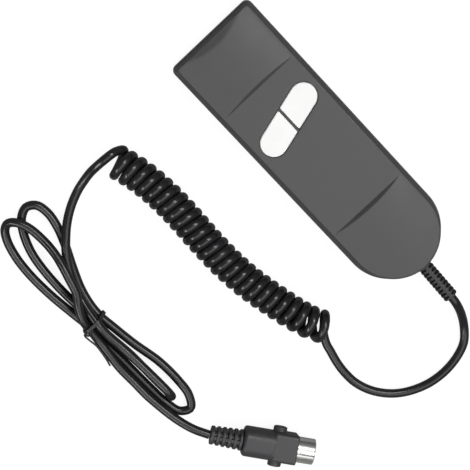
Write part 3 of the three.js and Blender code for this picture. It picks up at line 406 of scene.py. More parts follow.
def mesh_of(name: str, points: Iterable[Point], faces: Sequence[Sequence[int]] = ()) -> bpy.types.Mesh:
    """Makes a mesh in metres from points in millimetres.

    Args:
        name: The mesh's name.
        points: Its points.
        faces: Its faces.

    Returns:
        The mesh.
    """
    mesh = bpy.data.meshes.new(name)
    mesh.from_pydata([tuple(c * MM for c in p) for p in points], [], faces)
    return mesh


@dataclass
class Solid:
    """A closed body, before it becomes a Blender mesh.

    Attributes:
        points: Its points, in millimetres.
        faces: Its faces, as numbers of their points.
    """

    points: list[Triple] = field(default_factory=list)
    faces: list[tuple[int, ...]] = field(default_factory=list)

    def join(self, *others: "Solid") -> "Solid":
        """Adds other solids to this one, as separate shells.

        Args:
            *others: The solids to add.

        Returns:
            This solid.
        """
        for other in others:
            base = len(self.points)
            self.points.extend(other.points)
            self.faces.extend(tuple(i + base for i in face) for face in other.faces)
        return self

    def moved(self, matrix: Matrix) -> "Solid":
        """A copy that a matrix has moved.

        Args:
            matrix: The move, in millimetres.

        Returns:
            The copy.
        """
        return Solid([tuple(matrix @ Vector(p)) for p in self.points], list(self.faces))

    @staticmethod
    def loft(rings: Sequence[Sequence[Point]], around: bool = False) -> "Solid":
        """Joins loops of equal length, and closes both ends or joins the last to the first.

        Args:
            rings: The loops, in order.
            around: Whether the last loop meets the first.

        Returns:
            The body.
        """
        count, levels = len(rings[0]), len(rings)
        faces = []
        for level in range(levels if around else levels - 1):
            low, high = level * count, ((level + 1) % levels) * count
            for i in range(count):
                j = (i + 1) % count
                faces.append((low + i, low + j, high + j, high + i))
        if not around:
            faces.append(tuple(range(count - 1, -1, -1)))
            faces.append(tuple(range((levels - 1) * count, levels * count)))
        return Solid([tuple(p) for ring in rings for p in ring], faces)

    @staticmethod
    def turned(profile: Sequence[Pair], sides: int = 48) -> "Solid":
        """Spins an open profile about the X axis.

        Args:
            profile: Places along the axis and the radius at each.
            sides: Facets around.

        Returns:
            The body, closed flat at both ends.
        """
        return Solid.loft([[(x, y, z) for y, z in circle(max(r, 0.01), sides)] for x, r in profile])

    @staticmethod
    def hoop(section: Sequence[Pair], sides: int = 48) -> "Solid":
        """Spins a closed section about the X axis, which makes a ring.

        Args:
            section: Places along the axis and the radius at each, as a closed outline.
            sides: Facets around.

        Returns:
            The ring.
        """
        rings = []
        for i in range(sides):
            angle = 2 * math.pi * i / sides
            rings.append([(x, r * math.cos(angle), r * math.sin(angle)) for x, r in section])
        return Solid.loft(rings, around=True)

    @staticmethod
    def prism(outlines: Sequence[tuple[Sequence[Pair], float]]) -> "Solid":
        """Stacks flat outlines of equal length at given heights.

        Args:
            outlines: Each outline with its height.

        Returns:
            The body.
        """
        return Solid.loft([[(x, y, z) for x, y in outline] for outline, z in outlines])

    @staticmethod
    def post(x: float, y: float, radius: float, low: float, high: float, sides: int = 40) -> "Solid":
        """A plain upright post.

        Args:
            x: Its place across.
            y: Its place along.
            radius: Its radius.
            low: Its lower end.
            high: Its upper end.
            sides: Facets around.

        Returns:
            The post.
        """
        outline = [(x + a, y + b) for a, b in circle(radius, sides)]
        return Solid.prism([(outline, low), (outline, high)])

    def build(self, name: str) -> bpy.types.Object:
        """Makes the Blender object, in metres, with its faces outwards.

        Args:
            name: The object's name.

        Returns:
            The object.
        """
        mesh = mesh_of(name, self.points, self.faces)
        shape = bmesh.new()
        shape.from_mesh(mesh)
        bmesh.ops.remove_doubles(shape, verts=shape.verts, dist=1e-7)
        bmesh.ops.recalc_face_normals(shape, faces=shape.faces)
        shape.to_mesh(mesh)
        shape.free()
        return put(name, mesh)


def settle(piece: bpy.types.Object) -> bpy.types.Object:
    """Applies a piece's modifiers for good.

    Args:
        piece: The piece.

    Returns:
        The same piece, with a plain mesh.
    """
    depsgraph = bpy.context.evaluated_depsgraph_get()
    mesh = bpy.data.meshes.new_from_object(piece.evaluated_get(depsgraph), depsgraph=depsgraph)
    piece.modifiers.clear()
    old = piece.data
    piece.data = mesh
    if isinstance(old, bpy.types.Mesh):
        bpy.data.meshes.remove(old)
    return piece


def carve(piece: bpy.types.Object, operation: str, tool: Solid) -> bpy.types.Object:
    """Cuts a tool's shape out of a piece, or joins it on.

    Args:
        piece: The piece.
        operation: DIFFERENCE, UNION or INTERSECT.
        tool: The shape to use. Its shells stay clear of each other.

    Returns:
        The same piece.
    """
    other = tool.build("tool")
    change = piece.modifiers.new("carve", "BOOLEAN")
    change.operation = operation
    change.solver = "EXACT"
    change.object = other
    bpy.context.view_layer.update()
    settle(piece)
    bpy.data.objects.remove(other)
    return piece


def smooth(piece: bpy.types.Object, degrees: float = 32.0) -> bpy.types.Object:
    """Shades a piece smooth, keeps its true edges and lets its large faces lead.

    Args:
        piece: The piece.
        degrees: Edges sharper than this stay sharp.

    Returns:
        The same piece.
    """
    piece.data.shade_smooth()
    piece.data.set_sharp_from_angle(angle=math.radians(degrees))
    even = piece.modifiers.new("even", "WEIGHTED_NORMAL")
    even.keep_sharp = True
    even.weight = 60
    return settle(piece)


def dress(
    piece: bpy.types.Object, finish: Finish, slot: str, *nodes: str, body: str = HANDSET
) -> bpy.types.Object:
    """Gives a finished piece its material, its body and the nodes that it stands for.

    Args:
        piece: The piece.
        finish: Its finish.
        slot: The record's name for that finish. It is not used.
        *nodes: The CAD nodes that it replaces.
        body: The body that it rides on.

    Returns:
        The same piece.
    """
    piece.data.materials.clear()
    piece.data.materials.append(finish.build())
    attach(piece, body)
    if nodes:
        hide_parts(*nodes)
    count = sum(len(p.vertices) - 2 for p in piece.data.polygons)
    LOG.info("%s rides on %s: %d triangles", piece.name, body, count)
    return piece


@dataclass(frozen=True)
class Pattern:
    """Copies of one part on given spots, made by Geometry Nodes.

    Attributes:
        name: The finished piece's name.
        spots: Where the copies go, in millimetres.
    """

    name: str
    spots: Sequence[Triple]

    def build(self, part: Solid, finish: Finish) -> bpy.types.Object:
        """Sets the copies out and makes them one plain mesh.

        Args:
            part: One copy, drawn about its own spot.
            finish: Its finish.

        Returns:
            The piece.
        """
        template = smooth(part.build("part"))
        piece = put(self.name, mesh_of(self.name, self.spots))
        tree, sockets = self._tree()
        change = piece.modifiers.new("copies", "NODES")
        change.node_group = tree
        change[sockets["Part"]] = template
        change[sockets["Finish"]] = finish.build()
        change[sockets["Scale"]] = 1.0
        bpy.context.view_layer.update()
        settle(piece)
        bpy.data.objects.remove(template)
        return piece

    @staticmethod
    def _tree() -> tuple[bpy.types.NodeTree, dict[str, str]]:
        """Makes the node tree that sets copies out on points.

        Returns:
            The tree, and the identifier of each of its inputs by name.
        """
        tree = bpy.data.node_groups.new("copies on spots", "GeometryNodeTree")
        kinds = {
            "Spots": "NodeSocketGeometry",
            "Part": "NodeSocketObject",
            "Finish": "NodeSocketMaterial",
            "Scale": "NodeSocketFloat",
        }
        sockets = {}
        for name, kind in kinds.items():
            sockets[name] = tree.interface.new_socket(name, in_out="INPUT", socket_type=kind).identifier
        tree.interface.new_socket("Copies", in_out="OUTPUT", socket_type="NodeSocketGeometry")
        given = add_node(tree, "NodeGroupInput")
        points = add_node(tree, "GeometryNodeMeshToPoints", {"Mesh": given.outputs["Spots"]})
        part = add_node(tree, "GeometryNodeObjectInfo", {"Object": given.outputs["Part"]})
        copies = add_node(
            tree,
            "GeometryNodeInstanceOnPoints",
            {
                "Points": points.outputs["Points"],
                "Instance": part.outputs["Geometry"],
                "Scale": given.outputs["Scale"],
            },
        )
        real = add_node(tree, "GeometryNodeRealizeInstances", {"Geometry": copies.outputs["Instances"]})
        painted = add_node(
            tree,
            "GeometryNodeSetMaterial",
            {"Geometry": real.outputs["Geometry"], "Material": given.outputs["Finish"]},
        )
        add_node(tree, "NodeGroupOutput", {"Copies": painted.outputs["Geometry"]})
        return tree, sockets


# --- Studio ---


@dataclass(frozen=True)
class Lamp:
    """A soft box.

    Attributes:
        name: What it is for.
        place: Where it hangs, in metres.
        target: What it points at, in metres.
        width: Its width, in metres.
        height: Its height, in metres.
        glow: Radiance of its face, where 1 is white.
    """

    name: str
    place: Triple
    target: Triple
    width: float
    height: float
    glow: float

    def hang(self) -> bpy.types.Object:
        """Makes the lamp and points it at its target.

        Returns:
            The lamp's object.
        """
        light = bpy.data.lights.new(self.name, "AREA")
        light.shape = "RECTANGLE"
        light.size, light.size_y = self.width, self.height
        light.energy = self.glow * math.pi * self.width * self.height
        lamp = put(self.name, light)
        lamp.location = self.place
        lamp.rotation_euler = (Vector(self.target) - Vector(self.place)).to_track_quat("-Z", "Y").to_euler()
        return lamp


@dataclass(frozen=True)
class Studio:
    """Camera, floor, world and lamps.

    Attributes:
        eye: Where the camera stands, in metres.
        right: The picture's right, in the row's axes.
        up: The picture's up.
        back: Away from the picture.
        lens: Focal length in millimetres on a 36 mm sensor.
        ambient: How brightly the surroundings light the object.
        mirrored: How bright the surroundings look in a reflection.
        floor_tone: The floor's own colour, as the object sees it.
        floor_shade: How much of the floor's white the lamps make, which is how dark a shadow gets.
        floor_white: How bright the floor is to the camera, away from every shadow.
        floor_mirrored: How much more than the lamps' light a reflection shows of the floor.
        floor_size: Width of the floor, in metres.
        floor_drop: How far it lies below the part, in millimetres.
        lamps: The soft boxes.
    """

    eye: Triple = (-0.0000548, 0.1184141, 0.6522053)
    right: Triple = (0.7290642, -0.6815932, 0.062419)
    up: Triple = (0.6788413, 0.7084356, -0.1931151)
    back: Triple = (0.0874061, 0.1831659, 0.9791887)
    lens: float = 1341 / 470 * 36
    ambient: float = 0.2
    mirrored: float = 0.15
    floor_tone: str = "#303030"
    floor_shade: float = 0.2
    floor_white: float = 1.08
    floor_mirrored: float = 0.06
    floor_size: float = 6.0
    floor_drop: float = 0.02
    lamps: tuple[Lamp, ...] = (
        Lamp("overhead panel", (-0.05, -0.5, 1.4), (-0.05, 0.0, 0.0), 2.0, 1.2, 1.35),
        Lamp("right strip", (0.6, 0.05, 1.1), (-0.06, 0.0, 0.0), 1.0, 0.26, 7.4),
        Lamp("left strip", (-1.1, 0.05, 0.95), (-0.06, 0.0, 0.0), 1.0, 0.28, 6.6),
    )

    def set_camera(self) -> None:
        """Stands the camera where the photograph was taken from."""
        data = bpy.data.cameras.new("camera")
        data.sensor_width = 36
        data.lens = self.lens
        data.clip_start, data.clip_end = 0.01, 20
        camera = put("camera", data)
        turn = Matrix((self.right, self.up, self.back)).transposed().to_4x4()
        camera.matrix_world = Matrix.Translation(self.eye) @ turn
        bpy.context.scene.camera = camera

    def set_light(self) -> None:
        """Hangs the lamps and sets the world, and leaves the picture's tones plain."""
        bpy.context.scene.view_settings.view_transform = "Standard"
        for lamp in self.lamps:
            lamp.hang()
        world = bpy.data.worlds.new("studio")
        bpy.context.scene.world = world
        world.use_nodes = True
        tree = world.node_tree
        tree.nodes.clear()
        shown = self._shown(tree)
        strength = add_node(
            tree,
            "ShaderNodeMapRange",
            {"Value": shown["camera"], "To Min": self.ambient, "To Max": 1.0},
        )
        mirror = add_node(
            tree,
            "ShaderNodeMapRange",
            {"Value": shown["mirror"], "To Min": strength.outputs["Result"], "To Max": self.mirrored},
        )
        sky = add_node(
            tree,
            "ShaderNodeBackground",
            {"Color": (1.0, 1.0, 1.0, 1.0), "Strength": mirror.outputs["Result"]},
        )
        add_node(tree, "ShaderNodeOutputWorld", {"Surface": sky.outputs["Background"]})

    def lay_floor(self) -> None:
        """Lays the white floor, which keeps the object's shadow."""
        half = self.floor_size / 2 / MM
        corners = ((-half, -half), (half, -half), (half, half), (-half, half))
        floor = Solid([(x, y, -self.floor_drop) for x, y in corners], [(0, 1, 2, 3)]).build("floor")
        material = bpy.data.materials.new("white paper floor")
        material.use_nodes = True
        tree = material.node_tree
        tree.nodes.clear()
        shown = self._shown(tree)
        plain = add_node(tree, "ShaderNodeBsdfDiffuse", {"Color": linear(self.floor_tone)})
        grey = (self.floor_shade, self.floor_shade, self.floor_shade, 1.0)
        lit = add_node(tree, "ShaderNodeBsdfDiffuse", {"Color": grey})
        unlit = self.floor_white - self.floor_shade
        level = add_node(
            tree,
            "ShaderNodeMapRange",
            {"Value": shown["mirror"], "To Min": unlit, "To Max": self.floor_mirrored},
        )
        glow = add_node(tree, "ShaderNodeEmission", {"Strength": level.outputs["Result"]})
        white = add_node(tree, "ShaderNodeAddShader", {0: lit.outputs["BSDF"], 1: glow.outputs["Emission"]})
        seen = add_node(tree, "ShaderNodeMath", {0: shown["camera"], 1: shown["mirror"]}, operation="MAXIMUM")
        both = add_node(
            tree,
            "ShaderNodeMixShader",
            {0: seen.outputs["Value"], 1: plain.outputs["BSDF"], 2: white.outputs["Shader"]},
        )
        add_node(tree, "ShaderNodeOutputMaterial", {"Surface": both.outputs["Shader"]})
        floor.data.materials.append(material)

    @staticmethod
    def _shown(tree: bpy.types.NodeTree) -> dict[str, bpy.types.NodeSocket]:
        """Tells a camera ray and a mirrored or transmitted one from the rest.

        Args:
            tree: The tree that asks.

        Returns:
            The sockets "camera" and "mirror", each 1 where it is so.
        """
        path = add_node(tree, "ShaderNodeLightPath")
        mirror = add_node(
            tree,
            "ShaderNodeMath",
            {0: path.outputs["Is Glossy Ray"], 1: path.outputs["Is Transmission Ray"]},
            operation="MAXIMUM",
        )
        return {"camera": path.outputs["Is Camera Ray"], "mirror": mirror.outputs["Value"]}


# --- Cord ---


def smooth_path(knots: Sequence[Point], spacing: float) -> list[Vector]:
    """Runs a centripetal Catmull-Rom curve through points, in even steps.

    Args:
        knots: The points that it goes through.
        spacing: Distance from point to point of the result.

    Returns:
        The points along the curve, both ends included.
    """
    spots = [Vector(p) for p in knots]
    spots = [spots[0] * 2 - spots[1], *spots, spots[-1] * 2 - spots[-2]]
    dense = []
    for before, start, end, after in zip(spots, spots[1:], spots[2:], spots[3:]):
        t1 = max((start - before).length, 1e-9) ** 0.5
        t2 = t1 + max((end - start).length, 1e-9) ** 0.5
        t3 = t2 + max((after - end).length, 1e-9) ** 0.5
        pieces = max(6, math.ceil((end - start).length / spacing * 4))
        for k in range(pieces):
            t = t1 + (t2 - t1) * k / pieces
            a1 = before * ((t1 - t) / t1) + start * (t / t1)
            a2 = start * ((t2 - t) / (t2 - t1)) + end * ((t - t1) / (t2 - t1))
            a3 = end * ((t3 - t) / (t3 - t2)) + after * ((t - t2) / (t3 - t2))
            b1 = a1 * ((t2 - t) / t2) + a2 * (t / t2)
            b2 = a2 * ((t3 - t) / (t3 - t1)) + a3 * ((t - t1) / (t3 - t1))
            dense.append(b1 * ((t2 - t) / (t2 - t1)) + b2 * ((t - t1) / (t2 - t1)))
    dense.append(Vector(knots[-1]))
    steps = np.array([(b - a).length for a, b in zip(dense, dense[1:])])
    travelled = np.concatenate([[0.0], np.cumsum(steps)])
    count = max(2, round(travelled[-1] / spacing))
    table = np.array([tuple(p) for p in dense])
    wanted = np.linspace(0.0, travelled[-1], count + 1)
    even = np.stack([np.interp(wanted, travelled, table[:, k]) for k in range(3)], axis=1)
    return [Vector(row) for row in even]


def path_length(points: Sequence[Vector]) -> float:
    """Length of a line of points, in their own unit."""
    return sum((b - a).length for a, b in zip(points, points[1:]))


def frames_along(points: Sequence[Vector]) -> list[tuple[Vector, Vector]]:
    """Finds two cross directions at each point of a line, without twist.

    Args:
        points: The line.

    Returns:
        The pair of directions at each point.
    """
    found = []
    side = None
    for i, point in enumerate(points):
        along = (points[min(i + 1, len(points) - 1)] - points[max(i - 1, 0)]).normalized()
        if side is None:
            side = along.cross(Vector((0, 0, 1)))
            side = side.normalized() if side.length > 1e-3 else Vector((1, 0, 0))
        side = (side - along * side.dot(along)).normalized()
        found.append((side, along.cross(side)))
    return found


def hose(points: Sequence[Vector], radius: float, sides: int, stretch: Sequence[Vector] = ()) -> Solid:
    """Makes a tube along a line of points.

    Args:
        points: The line.
        radius: Its radius.
        sides: Facets around.
        stretch: At each point a vector. The section grows along it by the square of its length.

    Returns:
        The tube, closed at both ends.
    """
    grown = stretch or [Vector()] * len(points)
    rings = []
    for point, (side, up), more in zip(points, frames_along(points), grown):
        spokes = [side * (radius * x) + up * (radius * y) for x, y in circle(1.0, sides)]
        rings.append([tuple(point + spoke + more * spoke.dot(more)) for spoke in spokes])
    return Solid.loft(rings)


@dataclass(frozen=True)
class Cord:
    """The whole cord, from the strain relief through the curl and the bundle to the plug.

    Attributes:
        diameter: Its thickness.
        sides: Facets round it.
        spacing: Distance between rings of facets.
        floor: Height of its centreline where it lies on the floor.
        curl_outer: Outside diameter of the curly part.
        close_pitch: Advance of a turn in the middle of the curl.
        loosening: How much more the first turn advances, and the last.
        fade: Over how many turns that fades away, at each end.
        lean: How far the top of a turn leans along the curl, as a share of its radius, and how much less it
            does at first.
        skew: How far the first turn's right side is ahead, as a share too, and over how many turns that
            fades.
        turn_steps: Rings of facets in one turn.
        press: How much wider a turn is along the curl, where its neighbours flatten it.
    """

    diameter: float = 4.5
    sides: int = 18
    spacing: float = 1.2
    floor: float = 2.25
    curl_outer: float = 17.4
    close_pitch: float = 4.884
    loosening: Pair = (1.9, 0.45)
    fade: Pair = (2.4, 2.5)
    lean: Pair = (0.18, 0.3)
    skew: Pair = (0.22, 2.9)
    turn_steps: int = 32
    press: float = 0.08

    def lead(self) -> list[Triple]:
        """The way from the strain relief round to the curl.

        Returns:
            The points.
        """
        z = self.floor
        return [
            (-0.743, -99.0, 10), (-1.1, -103, 9.7), (-1.9, -107.2, 8.2), (-3.1, -111.3, 5.9),
            (-4.9, -115.6, 3.6), (-8, -120.5, z), (-12.3, -124.7, z), (-20, -127.9, z), (-30, -129.2, z),
            (-40.1, -127.9, z), (-50.1, -123.7, z), (-57.3, -118.1, z), (-63, -110.2, z), (-66, -101.6, z),
            (-66.4, -94, z), (-65.7, -87.5, z), (-63.95, -80.15, z), (-63.1, -76.6, z), (-61.6, -73.3, z),
            (-59.6, -70.2, z),
        ]

    def curl_axis(self) -> list[Triple]:
        """The way along the middle of the curl, on the floor.

        Returns:
            The points.
        """
        return [
            (-56.5, -68.3, 0), (-58.2, -65.3, 0), (-60.8, -59.7, 0), (-62.6, -54.1, 0), (-64, -48.9, 0),
            (-66.1, -39.5, 0), (-68, -30, 0), (-69.4, -20, 0), (-70.1, -10, 0), (-70.2, 0, 0),
            (-69.9, 10, 0), (-69.4, 20, 0), (-69.2, 31, 0), (-69.8, 42.5, 0), (-71.4, 53.5, 0),
            (-74.2, 64.3, 0),
        ]

    def run(self) -> list[Triple]:
        """The way from the curl across to the bundle.

        Returns:
            The points.
        """
        return [
            (-70.9, 68, 11.6), (-73.7, 68.7, 13.3), (-77.5, 69, 13.1), (-82.5, 69.1, 11.4),
            (-86.85, 68.9, 9.32), (-91.9, 68, 7.2), (-97.8, 66.5, 5.6), (-104.3, 63.9, 5.2),
            (-109.8, 60.8, 5.6), (-114.8, 57.1, 6.2),
        ]

    def bundle(self) -> list[Triple]:
        """The way of the tied bundle, over its top first, then fold by fold.

        Returns:
            The points.
        """
        z = self.floor
        return [
            (-118.7, 53.5, 6.8), (-121.4, 50.8, 7), (-124.3, 47.4, 7), (-127.4, 42.9, 6.8),
            (-130.9, 36.6, 6.7), (-133.6, 30.1, 6.7), (-135.2, 23.9, 7.6), (-136.7, 13.5, 10),
            (-137.3, 4.5, 9.3), (-136.9, -4.2, 8.4), (-136.5, -14, 8.3), (-136.3, -25.4, 8.4),
            (-136.2, -34, 8.8), (-136.4, -38, 8.5), (-137, -40.6, 6.7), (-137.6, -40.6, 4.3),
            (-137.7, -37.5, z), (-137.8, -28, z), (-137.6, -12, 2.4), (-138.3, 4, 4.4), (-138.5, 13.5, 5.5),
            (-138.8, 25, 3.8), (-139.2, 37, z), (-138.3, 50, z), (-136.4, 60, z), (-132.5, 69.2, z),
            (-127.6, 75.5, z), (-122.4, 77.6, z), (-118.1, 74.8, z), (-116.8, 68.5, z), (-118.3, 60.2, z),
            (-122.4, 50, z), (-127.4, 39.9, z), (-131.7, 30, z), (-134, 21, 2.5), (-134.6, 13.5, 2.7),
            (-133.9, 4.3, z), (-132.4, -9, z), (-129.9, -24, z), (-129.8, -38, z), (-131.2, -47.1, z),
            (-135.3, -52.8, z), (-140.4, -50, z), (-142.2, -42, z), (-142.6, -30, z), (-142.5, -12, z),
            (-142.7, 2, 2.3), (-142.4, 13.5, 2.8), (-143.6, 25, 2.5), (-144.8, 38, z), (-144.9, 52, z),
            (-143.6, 63, z), (-140.9, 71.8, 2.6), (-137.4, 76.9, 3.8), (-133.9, 78.2, 5.3),
            (-130.2, 75.6, 6.9), (-127.7, 69.5, 7.3), (-126.9, 60, 7.8), (-127.3, 52, 9.4),
            (-128.5, 45.7, 11), (-130.9, 37.8, 11.5), (-133.2, 31, 11.5), (-137.6, 24.8, 11.8),
            (-140.8, 18.3, 10.7), (-141.6, 13.5, 9.2), (-142.9, 5.7, 7.5), (-143.9, -1.3, 7.1),
            (-145.4, -12.1, 6.3), (-145.6, -22.7, 5.9), (-145.7, -32, 6.1), (-145.3, -38.2, 6.1),
        ]

    def end(self) -> list[Triple]:
        """The way from the bundle into the plug's boot.

        Returns:
            The points.
        """
        return [
            (-145.15, -40.05, 6.1), (-144.2, -47.8, 6.5), (-142.6, -55.2, 7.1), (-140.5, -61.3, 7.8),
            (-137.11, -68.17, 8.1),
        ]

    def curl(self) -> list[tuple[Vector, Vector]]:
        """The curly part, a helix that lies on the floor and opens at both ends.

        Returns:
            Its points with the curl's direction at each, from the end near the handset.
        """
        axis = smooth_path(self.curl_axis(), 0.5)
        height = self.curl_outer / 2 + 0.05
        radius = (self.curl_outer - self.diameter) / 2
        opening = sum(more * turns for more, turns in zip(self.loosening, self.fade))
        turns = round((path_length(axis) - opening) / self.close_pitch - 0.25) + 0.25
        count = round(turns * self.turn_steps)
        middles = (np.arange(count) + 0.5) / self.turn_steps
        first = self.loosening[0] * np.exp(-middles / self.fade[0])
        last = self.loosening[1] * np.exp((middles - turns) / self.fade[1])
        travelled = np.concatenate([[0.0], np.cumsum(self.close_pitch + first + last)])
        found = []
        for i, share in enumerate(travelled / travelled[-1]):
            place = min(share * (len(axis) - 1), len(axis) - 1.001)
            k = int(place)
            centre = axis[k].lerp(axis[k + 1], place - k)
            along = (axis[min(k + 2, len(axis) - 1)] - axis[max(k - 1, 0)]).normalized()
            side = Vector((along.y, -along.x, 0))
            angle = 2 * math.pi * i / self.turn_steps - math.pi / 2
            loose = math.exp(-((i / self.turn_steps / self.skew[1]) ** 2))
            lean = self.lean[0] - self.lean[1] * loose
            spot = centre + side * (radius * math.cos(angle))
            spot += along * (radius * (self.skew[0] * loose * math.cos(angle) + lean * math.sin(angle)))
            found.append((spot + Vector((0, 0, height + radius * math.sin(angle))), along))
        return found

    def route(self) -> tuple[list[Vector], list[Vector]]:
        """The centreline of the whole cord.

        Returns:
            Points close enough together to have its length, and at each how its section is stretched.
        """
        curl = self.curl()
        spots = [spot for spot, _ in curl]
        step = self.turn_steps // 8
        before = smooth_path([*self.lead(), spots[0], spots[step], spots[2 * step]], self.spacing)
        knots = [spots[-2 * step - 1], spots[-step - 1], spots[-1], *self.run(), *self.bundle(), *self.end()]
        after = smooth_path(knots, self.spacing)
        cut = min(range(len(before)), key=lambda i: (before[i] - spots[step]).length)
        start = min(range(len(after)), key=lambda i: (after[i] - spots[-step - 1]).length)
        points = [*before[:cut], *spots[step:-step], *after[start + 1 :]]
        for point in points:
            point.z = max(point.z, self.floor)
        stretch = [Vector()] * cut
        inner = curl[step:-step]
        for i, (_, along) in enumerate(inner):
            ease = min(1.0, min(i, len(inner) - 1 - i) / self.turn_steps)
            stretch.append(along * math.sqrt(self.press * ease))
        return points, stretch + [Vector()] * (len(points) - len(stretch))

    def build(self) -> bpy.types.Object:
        """Makes the cord as one tube with a UV map in millimetres.

        Returns:
            The cord.
        """
        points, stretch = self.route()
        tube = hose(points, self.diameter / 2, self.sides, stretch)
        mesh = mesh_of("cord", tube.points, tube.faces)
        layer = mesh.uv_layers.new(name="UVMap")
        travelled = [0.0]
        for a, b in zip(points, points[1:]):
            travelled.append(travelled[-1] + (b - a).length)
        around = math.pi * self.diameter / self.sides
        for face in mesh.polygons:
            columns = [mesh.loops[k].vertex_index % self.sides for k in face.loop_indices]
            wraps = len(face.vertices) == 4 and max(columns) - min(columns) > 1
            for k, column in zip(face.loop_indices, columns):
                ring = mesh.loops[k].vertex_index // self.sides
                shown = column + self.sides if wraps and column == 0 else column
                layer.data[k].uv = (shown * around, travelled[ring])
        mesh.shade_smooth()
        mesh.set_sharp_from_angle(angle=math.radians(50))
        stretches = [f"cord_{name}" for name in ("lead", "curl", "run", "hank", "end")]
        return dress(put("cord", mesh), CORD_VINYL, "cord_jacket", *stretches)

    def declare(self) -> None:
        points, _ = self.route()
        LOG.info("cord: %.1f mm long", path_length(points))


# --- Handset ---


@dataclass(frozen=True)
class Ring:
    """One loop round the front cover.

    Attributes:
        side: How far it is inside the widest outline, at the sides and the rounded end.
        end: How far it is inside it at the square end.
        corner: Radius of its square corners.
        height: How far it is above the seam, or below the top surface where it is negative or 0.
        top: Whether its height counts from the top surface.
    """

    side: float
    end: float
    corner: float
    height: float
    top: bool = False


@dataclass(frozen=True)
class Row:
    """One line of points across the top of the front cover.

    Attributes:
        edge: Where it meets the sides.
        line: Where it lies at a given distance from the middle.
    """

    edge: float
    line: Callable[[float], float]


